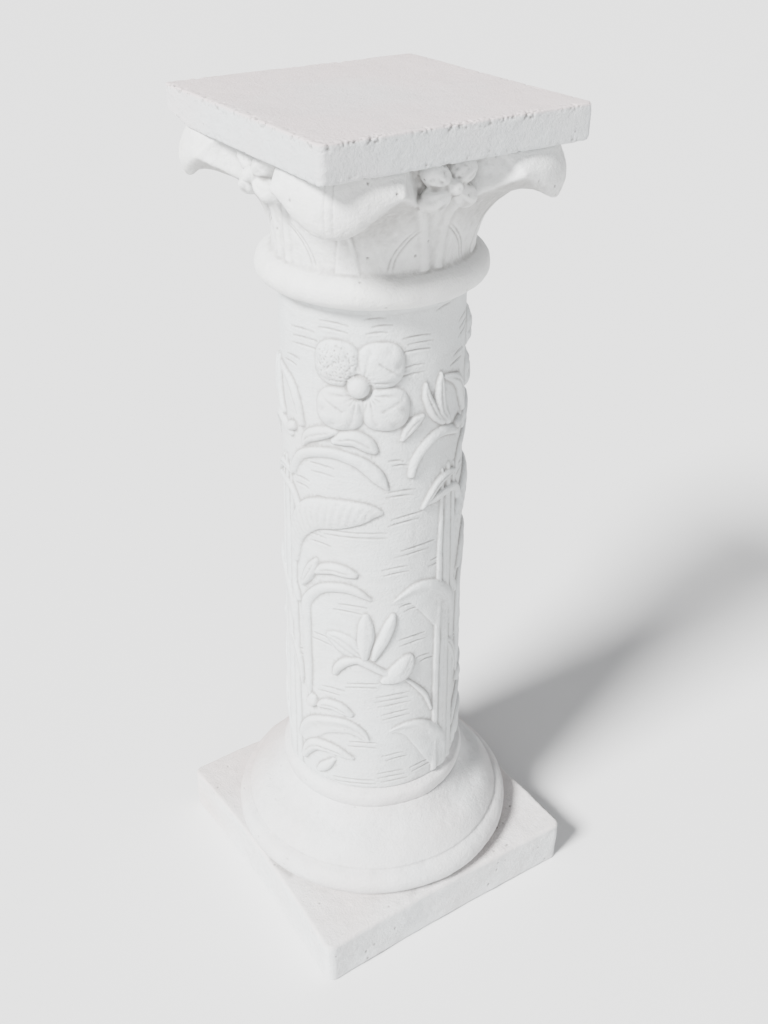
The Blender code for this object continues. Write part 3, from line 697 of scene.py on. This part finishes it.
def stamp_stroke(relief, kind, height, points):
    """Add one stroke to the panel's map of relief."""
    route = smooth_route(points)
    route[:, 0] = route[:, 0] * PER_DEGREE + MAP_WIDTH / 2
    widest = max(point[2] for point in points)
    x, y, target = patch(route[:, :2].min(axis=0) - widest, route[:, :2].max(axis=0) + widest)
    best = np.full(x.shape, -1e9)
    side, along, run_at = np.zeros(x.shape), np.zeros(x.shape), np.zeros(x.shape)
    lengths = np.hypot(*np.diff(route[:, :2], axis=0).T)
    reached = np.concatenate([[0.0], np.cumsum(lengths)])
    for index, length in enumerate(lengths):
        start, stop = route[index], route[index + 1]
        way = (stop[:2] - start[:2]) / max(length, 1e-9)
        forward = (x - start[0]) * way[0] + (y - start[1]) * way[1]
        across = (y - start[1]) * way[0] - (x - start[0]) * way[1]
        share = np.clip(forward / max(length, 1e-9), 0.0, 1.0)
        half_width = (start[2] + (stop[2] - start[2]) * share) / 2
        distance = np.hypot(across, forward - share * length)
        inside = 1 - distance / half_width
        better = inside > best
        best = np.where(better, inside, best)
        side = np.where(better, across / half_width, side)
        run = reached[index] + share * length
        run_at = np.where(better, run, run_at)
        along = np.where(better, run / reached[-1], along)
    inside = np.clip(best, 0.0, 1.0)
    width_here = np.interp(run_at, reached, route[:, 2])
    shape = stroke_shape(kind, side, along, inside, run_at) * np.sqrt(width_here / widest)
    relief[target] = blend_max(relief[target], height * shape, 0.5)


def stamp_petal(relief, across, up, wide, tall, lean, rough):
    """Add one petal of the shaft's flower: plump and squarish, with creases that run from its middle."""
    centre = (across * PER_DEGREE + MAP_WIDTH / 2, up)
    reach = max(wide, tall) + 2
    x, y, target = patch((centre[0] - reach, centre[1] - reach), (centre[0] + reach, centre[1] + reach))
    x, y = x - centre[0], y - centre[1]
    cosine, sine = math.cos(math.radians(lean)), math.sin(math.radians(lean))
    long_way, short_way = x * cosine + y * sine, -x * sine + y * cosine
    to_rim = np.clip(np.abs(x / wide) ** PETAL_SQUARENESS + np.abs(y / tall) ** PETAL_SQUARENESS, 0, 1)
    outward = 0.5 + 0.25 * (x / wide * np.sign(across) + y / tall * np.sign(up - FLOWER_MIDDLE[1]))
    shape = np.clip(1 - to_rim ** 1.2, 0, 1) ** 0.7 * (0.72 + 0.38 * outward)
    turn = np.arctan2(y + np.sign(up - FLOWER_MIDDLE[1]) * tall * 0.7, x + np.sign(across) * wide * 0.7)
    shape *= 1 - 0.24 * (0.5 + 0.5 * np.cos(turn * 14)) ** 2 * ease(0.05, 0.4, to_rim)
    shape *= 1 - 0.12 * bump_at(short_way, 2.0, 1.2) * (long_way * np.sign(across) > -4)
    if rough:
        grit = soften(np.random.default_rng(41).random(shape.shape), 1)
        shape *= 1 - 0.5 * np.clip(grit - 0.5, 0, 1) * 2
    relief[target] = blend_max(relief[target], PETAL_RELIEF * shape, 0.4)


def stamp_button(relief):
    """The round button in the middle of the shaft's flower."""
    centre = (FLOWER_MIDDLE[0] * PER_DEGREE + MAP_WIDTH / 2, FLOWER_MIDDLE[1])
    reach = BUTTON_RADIUS + 4.5
    x, y, target = patch((centre[0] - reach, centre[1] - reach), (centre[0] + reach, centre[1] + reach))
    distance = np.hypot(x - centre[0], y - centre[1])
    relief[target] -= 1.6 * bump_at(distance, BUTTON_RADIUS + 1.6, 1.4)
    dome = BUTTON_RELIEF * np.sqrt(np.clip(1 - (distance / BUTTON_RADIUS) ** 2, 0, 1))
    relief[target] = np.maximum(relief[target], dome)


def cut_dash(relief, start, stop, up, lean, depth):
    """Cut one shallow stroke into the bare ground."""
    first, last = start * PER_DEGREE + MAP_WIDTH / 2, stop * PER_DEGREE + MAP_WIDTH / 2
    x, y, target = patch((first - 3, up - 6), (last + 3, up + 6))
    share = np.clip((x - first) / (last - first), 0, 1)
    middle = up + lean * (share - 0.5) + 0.8 * np.sin(share * math.pi)
    distance = np.hypot(y - middle, np.clip(first - x, 0, None) + np.clip(x - last, 0, None))
    fade = 0.35 + 0.65 * np.sin(math.pi * np.clip(share, 0.04, 0.96))
    bare = 1 - ease(0.3, 1.2, relief[target])
    relief[target] -= depth * fade * bump_at(distance, 0.0, DASH_HALF_WIDTH) * bare
    relief[target] += 0.25 * depth * fade * bump_at(distance, 1.7, 0.7) * bare


def panel_map():
    """The relief of one panel in millimetres, on a grid of half a millimetre."""
    relief = np.zeros((MAP_ROWS, MAP_COLUMNS))
    for kind, height, points in STROKES:
        stamp_stroke(relief, kind, height, points)
    for index, petal in enumerate(PETALS):
        stamp_petal(relief, *petal, rough=index == 0)
    stamp_button(relief)
    generator = np.random.default_rng(43)
    for start, stop, up, count, spacing in DASHES:
        lean = generator.uniform(*DASH_LEAN)
        for line in range(count):
            shift = generator.uniform(-DASH_SHIFT, DASH_SHIFT)
            depth = generator.uniform(*DASH_DEPTH)
            cut_dash(relief, start + shift, stop + shift, up - line * spacing, lean, depth)
    return relief


def soften(field, passes):
    """Average with the neighbours; the columns wrap round."""
    for _ in range(passes):
        field = (np.roll(field, 1, 1) + 2 * field + np.roll(field, -1, 1)) / 4
        field[1:-1] = (field[:-2] + 2 * field[1:-1] + field[2:]) / 4
    return field


def read_map(field, places):
    """The map's value at each place, between its grid points."""
    across = np.degrees(np.arctan2(places[:, 1], places[:, 0])) - PANEL_MIDDLE
    column = (across * PER_DEGREE + MAP_WIDTH / 2) / MAP_STEP
    column = np.mod(column * MAP_COLUMNS * MAP_STEP / MAP_WIDTH, MAP_COLUMNS)
    row = (places[:, 2] - SHAFT_BOTTOM) / SHAFT_HEIGHT * DRAWN_HEIGHT / MAP_STEP
    row = np.clip(row, 0, MAP_ROWS - 1.001)
    left, low = np.floor(column).astype(int), np.floor(row).astype(int)
    x, y = column - left, row - low
    left, right = left % MAP_COLUMNS, (left + 1) % MAP_COLUMNS
    return ((field[low, left] * (1 - x) + field[low, right] * x) * (1 - y)
            + (field[low + 1, left] * (1 - x) + field[low + 1, right] * x) * y)


def shaft_radius(height):
    share = (height - SHAFT_BOTTOM) / SHAFT_HEIGHT
    return SHAFT_FOOT_RADIUS + (SHAFT_TOP_RADIUS - SHAFT_FOOT_RADIUS) * share


def make_shaft(material):
    """The carved shaft: a turned blank whose surface stands out or sinks by the panel's map."""
    wear = SHAFT_WEAR
    neck = SHAFT_TOP - 0.007
    corners = [(0.0, SHAFT_TOP), (SHAFT_TOP_RADIUS + NECK_LIP, SHAFT_TOP),
               (SHAFT_TOP_RADIUS + NECK_LIP, SHAFT_TOP - 0.003), (shaft_radius(neck), neck),
               (SHAFT_FOOT_RADIUS, SHAFT_BOTTOM + 0.001), (SHAFT_FOOT_RADIUS - 0.001, SHAFT_BOTTOM),
               (0.0, SHAFT_BOTTOM)]
    profile = along_profile(corners, SHAFT_HEIGHT / SHAFT_ROWS)
    mesh = split_faces(spin_profile(profile, SHAFT_STEPS, "shaft"), 2)
    places = bend_to_circle(read_vectors(mesh, "co"), SHAFT_STEPS)
    relief = soften(panel_map(), 1)
    ground = soften(relief.copy(), GROUND_SOFTENING)
    radius = np.hypot(places[:, 0], places[:, 1])
    outer = radius > SHAFT_TOP_RADIUS * 0.95
    stand = read_map(relief, places)
    swell = unevenness(places, wear) * 1000
    worn = 0.55 * np.clip(rough_noise(places, 0.004, 47), 0, 1) * ease(1.0, 3.0, stand)
    holes = worn_pits(places, wear)
    rim = ease(SHAFT_TOP, SHAFT_TOP - 0.010, places[:, 2])
    rim *= ease(SHAFT_BOTTOM, SHAFT_BOTTOM + 0.004, places[:, 2])
    stand = np.where(stand > 0, stand * BOLDNESS, stand)
    pitted = wear.pit_depth * 1000 * holes
    move = (stand * rim + (swell - worn) * np.clip(rim, 0.35, 1) - pitted * rim) / 1000
    scale = np.where(outer, 1 + move / np.maximum(radius, 1e-6), 1.0)
    places[:, :2] *= scale[:, None]
    write_points(mesh, places)
    # Painted shade beside the relief, where the surface lies below the softened ground, and in the
    # crevices; grey in the pits; darker in a rough band at the foot
    dip = read_map(ground, places) - read_map(relief, places)
    foot = bump_at(places[:, 2], SHAFT_BOTTOM + 0.001, 0.0025) * (0.6 + rough_noise(places, 0.006, 49))
    deep = full_crevices(mesh, wear) + dip / 1.3 + 0.6 * holes + 0.5 * np.clip(foot, 0, 1)
    write_values(mesh, "hollow", np.clip(deep, 0, 1))
    mesh = thin_faces(mesh, wear.triangles)
    return add_piece("shaft_carved", mesh, "shaft", material)


# Capital
LEAF_MIDDLE = [(0.00, 0.00), (0.02, 0.12), (0.10, 0.31), (0.25, 0.46), (0.46, 0.58), (0.64, 0.62),
               (0.79, 0.58), (0.91, 0.51), (0.99, 0.63), (1.00, 0.76), (0.95, 0.89), (0.88, 1.00)]
LEAF_EDGE = [(-0.32, 0.00), (-0.30, 0.20), (-0.23, 0.42), (-0.13, 0.54), (0.04, 0.63), (0.25, 0.70),
             (0.47, 0.765), (0.62, 0.815), (0.60, 0.85), (0.52, 0.90), (0.42, 0.95), (0.34, 1.00)]
LEAF_POINTS = [0.86, 0.86, 0.90, 0.92, 0.96, 1.15, 1.40, 1.45, 1.10, 0.85, 0.80, 0.75]
LEAF_ROWS = 55
LEAF_COLUMNS = 48
BELL_FOOT_RADIUS = SHAFT_TOP_RADIUS + BELL_FOOT_STEP
BELL_RIM_RADIUS = SHAFT_TOP_RADIUS + BELL_RIM_STEP
CORNER_REACH = (ABACUS_HIGH[0] - ABACUS_LOW[0]) / math.sqrt(2)
CAPITAL_GRAIN = 0.0011
CORE_STEPS = 160
JOINT_OVERLAP = 0.0004
LEAF_SMOOTHING = 26
LEAF_TRIANGLES = 120000
FLOWER_SMOOTHING = 6
LEAF_SHADE = 0.75
STEM_HEIGHT = 0.0014
HOLLOW_DEPTH = 0.0022
VEIN_DEPTH = 0.0010
RIDGE_HEIGHT = 0.0020
CREASE_DEPTH = 0.0010
DIMPLE_DEPTH = 0.0018
DAMAGE_DEPTH = 0.0020

# Flower of the capital: how far across, proud of the bell and up or down its petals sit, and half sizes
PETAL_PLACE = (0.0118, 0.0060, 0.0084)
PETAL_HALF_SIZES = (0.0130, 0.0105, 0.0096)
PETAL_LEAN = 26
BUTTON_PROUD = 0.0105
BUTTON_HALF_SIZES = (0.0062, 0.0110, 0.0062)
FLOWER_LEVEL = BELL_TOP - 0.0195


def bell_radius(height):
    share = (height - BELL_BOTTOM) / BELL_HEIGHT
    return BELL_FOOT_RADIUS + (BELL_RIM_RADIUS - BELL_FOOT_RADIUS) * share ** 2


def profile_at(points, share):
    """A point at a share of the way along a smooth curve through the given ones."""
    place = share * (len(points) - 1)
    index = min(int(place), len(points) - 2)
    four = (max(index - 1, 0), index, index + 1, min(index + 2, len(points) - 1))
    return spline(*(Vector(points[near]) for near in four), place - index)


def add_leaf(bm, turn, setback):
    """One corner leaf: a tongue from the bell's foot out to the hanging lip and back up to the abacus,
    with upright flanks and a flat top."""
    grid = bmesh.ops.create_grid(bm, x_segments=LEAF_COLUMNS, y_segments=LEAF_ROWS, size=1.0)
    reach = CORNER_REACH - setback - BELL_FOOT_RADIUS
    leaf_top = BELL_TOP + JOINT_OVERLAP
    for vert in grid['verts']:
        side, share = vert.co.x, (vert.co.y + 1) / 2
        edge, middle = profile_at(LEAF_EDGE, share), profile_at(LEAF_MIDDLE, share)
        point = np.interp(share * (len(LEAF_POINTS) - 1), range(len(LEAF_POINTS)), LEAF_POINTS)
        out, up = edge + (middle - edge) * max(1 - side * side, 0.0) ** point
        across = LEAF_HALF_WIDTH * (1 - LEAF_NARROWING * edge[1] ** 2) * side
        vert.co = (BELL_FOOT_RADIUS + reach * out, across, BELL_BOTTOM + (leaf_top - BELL_BOTTOM) * up)
    own = list(grid['verts'])
    rim = [edge for edge in bm.edges if edge.is_boundary and edge.verts[0] in set(own)]
    flank = bmesh.ops.extrude_edge_only(bm, edges=rim)['geom']
    furthest = BELL_FOOT_RADIUS + reach * LEAF_EDGE[-1][0]
    for vert in [item for item in flank if isinstance(item, bmesh.types.BMVert)]:
        place = Vector((min(vert.co.x, furthest), vert.co.y)) * (1 - LEAF_FLANK_LEAN)
        vert.co = (place.x, place.y, leaf_top)
        own.append(vert)
    rim = [item for item in flank if isinstance(item, bmesh.types.BMEdge) and item.is_boundary]
    heart = [item for item in bmesh.ops.extrude_edge_only(bm, edges=rim)['geom']
             if isinstance(item, bmesh.types.BMVert)]
    bmesh.ops.pointmerge(bm, verts=heart, merge_co=(BELL_FOOT_RADIUS * 0.9, 0.0, leaf_top))
    own += [vert for vert in heart if vert.is_valid]
    bmesh.ops.rotate(bm, verts=own, cent=(0, 0, 0), matrix=Matrix.Rotation(turn, 3, 'Z'))


def add_ball(bm, place, half_sizes, turn, lean=0.0):
    """A flattened ball, placed on the front and then turned to one of the four faces."""
    shape = (Matrix.Rotation(turn, 4, 'Z') @ Matrix.Translation(place) @ Matrix.Rotation(lean, 4, 'Y')
             @ Matrix.Diagonal((*half_sizes, 1.0)))
    bmesh.ops.create_uvsphere(bm, u_segments=32, v_segments=20, radius=1.0, matrix=shape)


def add_flower(bm, turn):
    """Four cupped petals and a button at the middle of a face, under the abacus."""
    depth = bell_radius(FLOWER_LEVEL)
    across, proud, rise = PETAL_PLACE
    for side in (-1, 1):
        for up in (-1, 1):
            place = (side * across, -depth - proud, FLOWER_LEVEL + up * rise)
            add_ball(bm, place, PETAL_HALF_SIZES, turn, side * up * math.radians(-PETAL_LEAN))
    add_ball(bm, (0.0, -depth - BUTTON_PROUD, FLOWER_LEVEL), BUTTON_HALF_SIZES, turn)


def melt(bm, passes):
    """Overlapping closed shapes as one even skin, smoothed."""
    bmesh.ops.recalc_face_normals(bm, faces=bm.faces[:])
    mesh = bpy.data.meshes.new("capital")
    bm.to_mesh(mesh)
    bm.free()
    mesh = with_modifier(mesh, 'REMESH', mode='VOXEL', voxel_size=CAPITAL_GRAIN)
    return with_modifier(mesh, 'SMOOTH', factor=0.5, iterations=passes)


def capital_blank():
    """Collar, bell, leaves and flowers melted into one skin."""
    tube = COLLAR_HEIGHT / 2
    collar_radius = SHAFT_TOP_RADIUS + COLLAR_PROUD
    corners = [(0.0, BELL_TOP + JOINT_OVERLAP), (BELL_RIM_RADIUS, BELL_TOP + JOINT_OVERLAP)]
    for index in range(31):
        height = BELL_TOP - BELL_HEIGHT * index / 30
        corners.append((bell_radius(height), height))
    corners += ellipse_arc((collar_radius - tube, COLLAR_BOTTOM + tube), (tube, tube), 75, -90, 28)
    corners.append((0.0, COLLAR_BOTTOM))
    core = spin_profile(corners, CORE_STEPS, "core")
    bm = bmesh.new()
    bm.from_mesh(core)
    bpy.data.meshes.remove(core)
    for index, setback in enumerate(LEAF_SETBACKS):
        add_leaf(bm, math.radians(45 + 90 * index), setback)
    mesh = thin_faces(melt(bm, LEAF_SMOOTHING), LEAF_TRIANGLES)
    bm = bmesh.new()
    bm.from_mesh(mesh)
    bpy.data.meshes.remove(mesh)
    for face in range(4):
        add_flower(bm, face * math.pi / 2)
    return melt(bm, FLOWER_SMOOTHING)


def off_corner(places):
    """Angle from the nearest corner, in radians."""
    return np.mod(np.arctan2(places[:, 1], places[:, 0]), math.pi / 2) - math.pi / 4


def capital_detail(places, normals):
    """How far the capital's surface stands out or sinks, in metres: stems, veins,
    ridges, the flowers' creases and holes, and the broken petals."""
    angle = np.arctan2(places[:, 1], places[:, 0])
    from_corner = off_corner(places)
    level = np.clip((places[:, 2] - BELL_BOTTOM) / BELL_HEIGHT, 0, 1)
    radius = np.hypot(places[:, 0], places[:, 1])
    side = radius * np.sin(from_corner) / LEAF_HALF_WIDTH
    across = np.abs(side)
    bell = ease(0.0, 0.03, level) * (1 - ease(0.107, 0.118, radius)) * (1 - ease(0.60, 0.70, level))
    stem_half = 0.17 - 0.24 * np.minimum(level, 0.6)
    stem = 1 - ease(stem_half - 0.02, stem_half + 0.03, np.abs(side + 0.04))
    hollow = bump_at(across, 0.50, 0.26) * ease(0.05, 0.5, level)
    vein_side = 0.53 + 2.5 * level ** 2
    vein = bump_at(across, vein_side - 0.03, 0.020) + bump_at(across, vein_side + 0.03, 0.020)
    vein *= ease(0.03, 0.08, level) * (1 - ease(0.30, 0.42, level))
    ridge = bump_at(across, 0.96, 0.05)
    detail = bell * (STEM_HEIGHT * stem - HOLLOW_DEPTH * hollow - VEIN_DEPTH * vein + RIDGE_HEIGHT * ridge)
    upper = ease(0.108, 0.122, radius) * ease(0.0, 0.3, normals[:, 2] + 0.45)
    twin_veins = bump_at(across, 0.055, 0.018)
    lip = upper * (0.0003 * bump_at(across, 0.0, 0.03) - 0.0005 * twin_veins)
    from_face = np.mod(angle + math.pi / 4, math.pi / 2) - math.pi / 4
    across_flower, up_flower = radius * np.sin(from_face), places[:, 2] - FLOWER_LEVEL
    from_button = np.hypot(across_flower, up_flower * 1.35)
    turn = np.arctan2(up_flower * 1.35, across_flower)
    petals = ease(0.102, 0.107, radius) * ease(0.007, 0.010, from_button)
    petals *= 1 - ease(0.022, 0.027, from_button)
    crease = -CREASE_DEPTH * petals * (0.5 + 0.5 * np.cos(turn * 12)) * ease(0.009, 0.016, from_button)
    dimple = -DIMPLE_DEPTH * bump_at(from_button, 0.0, 0.0016) * ease(0.112, 0.115, radius)
    torn = petals * ease(0.002, 0.006, up_flower) * np.clip(rough_noise(places, 0.0042, 55), 0, 1)
    facing_front = (places[:, 1] < 0) & (np.abs(places[:, 0]) < 0.03)
    return detail + lip + crease + dimple - DAMAGE_DEPTH * torn * facing_front


def make_capital(material):
    """The leafy capital with its collar, cast as one."""
    wear = CAPITAL_WEAR
    mesh = capital_blank()
    places = read_vectors(mesh, "co")
    normals = read_vectors(mesh, "normal")
    detail = capital_detail(places, normals)
    swell = unevenness(places, wear)
    holes = worn_pits(places, wear)
    ends = off_seams(places[:, 2], COLLAR_BOTTOM, BELL_TOP)
    places += normals * ((detail + swell - wear.pit_depth * holes) * ends)[:, None]
    places[:, 2] = np.clip(places[:, 2], COLLAR_BOTTOM, BELL_TOP + JOINT_OVERLAP)
    write_points(mesh, places)
    radius = np.hypot(places[:, 0], places[:, 1])
    level = (places[:, 2] - BELL_BOTTOM) / BELL_HEIGHT
    # Painted shade on the bell under the leaves and on surfaces that face down, and in the crevices; grey
    # in the pits
    under_leaf_shade = ease(0.12, 0.55, level) * (1 - ease(0.098, 0.112, radius))
    under_leaf_shade *= bump_at(off_corner(places), 0.0, 0.5)
    below = ease(0.1, 0.7, -normals[:, 2]) * ease(0.0, 0.3, level)
    shade = LEAF_SHADE * np.maximum(under_leaf_shade, below)
    write_values(mesh, "hollow", np.clip(holes * 0.8 + shade + full_crevices(mesh, wear), 0, 1))
    mesh = thin_faces(mesh, wear.triangles)
    return add_piece("capital_cast", mesh, "capital", material)


# Materials
def new_socket(group, name, kind, way, value=None):
    socket = group.interface.new_socket(name=name, in_out=way, socket_type=kind)
    if value is not None:
        socket.default_value = value


# Grey of the dust and of the painted shade in the hollows
DUST_AND_SHADE_COLOUR = (0.24, 0.23, 0.22, 1.0)
STAIN_COLOUR = (0.42, 0.42, 0.42, 1.0)
STAIN_AMOUNT = 0.22
GRAIN_HEIGHT = 0.75
BUMP_STRENGTH = 0.8
BUMP_DISTANCE = 0.0016


def plaster_group():
    """Painted plaster: brush streaks, grain, blotches, a pink tint that is partly blotches and partly a
    painted pink reflection, and grey for dust and for painted shade in the hollows and under the leaves.
    """
    group = bpy.data.node_groups.new("painted plaster", 'ShaderNodeTree')
    new_socket(group, "Paint", 'NodeSocketColor', 'INPUT', (0.8, 0.8, 0.8, 1.0))
    new_socket(group, "Tint", 'NodeSocketColor', 'INPUT', (0.8, 0.75, 0.74, 1.0))
    new_socket(group, "Tint amount", 'NodeSocketFloat', 'INPUT', 0.4)
    new_socket(group, "Dust and shade", 'NodeSocketFloat', 'INPUT', 0.4)
    new_socket(group, "Streak height", 'NodeSocketFloat', 'INPUT', 0.3)
    new_socket(group, "Color", 'NodeSocketColor', 'OUTPUT')
    new_socket(group, "Roughness", 'NodeSocketFloat', 'OUTPUT')
    new_socket(group, "Height", 'NodeSocketFloat', 'OUTPUT')
    nodes, links = group.nodes, group.links
    entry, leave = nodes.new('NodeGroupInput'), nodes.new('NodeGroupOutput')
    where = nodes.new('ShaderNodeTexCoord')

    def texture(scale, detail, stretch=(1, 1, 1), roughness=0.5):
        mapping = nodes.new('ShaderNodeMapping')
        mapping.inputs['Scale'].default_value = stretch
        links.new(where.outputs['Object'], mapping.inputs['Vector'])
        item = nodes.new('ShaderNodeTexNoise')
        item.inputs['Scale'].default_value = scale
        item.inputs['Detail'].default_value = detail
        item.inputs['Roughness'].default_value = roughness
        links.new(mapping.outputs['Vector'], item.inputs['Vector'])
        return item.outputs['Fac']

    def spread(value, low, high, first=0.0, last=1.0):
        item = nodes.new('ShaderNodeMapRange')
        item.inputs['From Min'].default_value = low
        item.inputs['From Max'].default_value = high
        item.inputs['To Min'].default_value = first
        item.inputs['To Max'].default_value = last
        links.new(value, item.inputs['Value'])
        return item.outputs['Result']

    def maths(kind, *values):
        item = nodes.new('ShaderNodeMath')
        item.operation = kind
        for socket, value in zip(item.inputs, values):
            if isinstance(value, (int, float)):
                socket.default_value = value
            else:
                links.new(value, socket)
        return item.outputs['Value']

    def mix(amount, first, second):
        item = nodes.new('ShaderNodeMix')
        item.data_type = 'RGBA'
        links.new(amount, item.inputs['Factor'])
        for socket, value in ((item.inputs['A'], first), (item.inputs['B'], second)):
            if isinstance(value, tuple):
                socket.default_value = value
            else:
                links.new(value, socket)
        return item.outputs['Result']

    blotch = spread(texture(14.0, 3.0), 0.35, 0.68)
    fine_blotch = spread(texture(75.0, 4.0), 0.35, 0.7)
    streaks = texture(170.0, 3.0, (0.22, 0.22, 1.0))
    grain = texture(420.0, 4.0, roughness=0.65)
    hollow = nodes.new('ShaderNodeAttribute')
    hollow.attribute_name = "hollow"
    painted_pink_reflection = nodes.new('ShaderNodeAttribute')
    painted_pink_reflection.attribute_name = "painted_pink_reflection"
    # Tint: random blotches, plus the painted pink reflection that some pieces store per point
    tinted = maths('MULTIPLY_ADD', blotch, 0.4, painted_pink_reflection.outputs['Fac'])
    tinted = maths('MULTIPLY', tinted, entry.outputs['Tint amount'])
    colour = mix(tinted, entry.outputs['Paint'], entry.outputs['Tint'])
    shade = maths('MULTIPLY', fine_blotch, STAIN_AMOUNT)
    colour = mix(shade, colour, STAIN_COLOUR)
    # Darken towards grey by the "hollow" attribute: dust in the pits, painted shade in the crevices and
    # under the leaves
    dust_and_shade_mix = maths('MULTIPLY', hollow.outputs['Fac'], entry.outputs['Dust and shade'])
    colour = mix(dust_and_shade_mix, colour, DUST_AND_SHADE_COLOUR)
    links.new(colour, leave.inputs['Color'])
    links.new(spread(blotch, 0.0, 1.0, 0.62, 0.80), leave.inputs['Roughness'])
    brushed = maths('MULTIPLY', streaks, entry.outputs['Streak height'])
    links.new(maths('ADD', brushed, maths('MULTIPLY', grain, GRAIN_HEIGHT)), leave.inputs['Height'])
    return group


PLASTER = plaster_group()


def plaster(name, paint, tint, tint_amount, dust_and_shade, streaks):
    """One piece's paint on the shared plaster surface."""
    material = bpy.data.materials.new(name)
    material.use_nodes = True
    nodes, links = material.node_tree.nodes, material.node_tree.links
    shader = nodes['Principled BSDF']
    surface = nodes.new('ShaderNodeGroup')
    surface.node_tree = PLASTER
    surface.inputs['Paint'].default_value = (*paint, 1.0)
    surface.inputs['Tint'].default_value = (*tint, 1.0)
    surface.inputs['Tint amount'].default_value = tint_amount
    surface.inputs['Dust and shade'].default_value = dust_and_shade
    surface.inputs['Streak height'].default_value = streaks
    bump = nodes.new('ShaderNodeBump')
    bump.inputs['Strength'].default_value = BUMP_STRENGTH
    bump.inputs['Distance'].default_value = BUMP_DISTANCE
    links.new(surface.outputs['Height'], bump.inputs['Height'])
    links.new(surface.outputs['Color'], shader.inputs['Base Color'])
    links.new(surface.outputs['Roughness'], shader.inputs['Roughness'])
    links.new(bump.outputs['Normal'], shader.inputs['Normal'])
    shader.inputs['Metallic'].default_value = 0.0
    return material


# Paint, tint, tint amount (of the blotches and the painted pink reflection), amount of dust and painted
# shade in the hollows, and height of the brush streaks of each piece
PAINTS = {
    "plinth": ((0.66, 0.685, 0.695), (0.60, 0.53, 0.51), 0.8, 0.9, 0.35),
    "base": ((0.62, 0.635, 0.64), (0.56, 0.48, 0.46), 0.85, 0.8, 0.2),
    "shaft": ((0.60, 0.63, 0.635), (0.57, 0.53, 0.50), 0.6, 0.9, 0.45),
    "capital": ((0.71, 0.72, 0.715), (0.64, 0.61, 0.56), 0.6, 0.9, 0.4),
    "abacus": ((0.57, 0.60, 0.61), (0.60, 0.52, 0.52), 0.85, 0.9, 0.5),
}
MAKERS = {"plinth": make_plinth, "base": make_base, "shaft": make_shaft, "capital": make_capital,
          "abacus": make_abacus}
for piece, make in MAKERS.items():
    make(plaster(f"{piece} paint", *PAINTS[piece]))
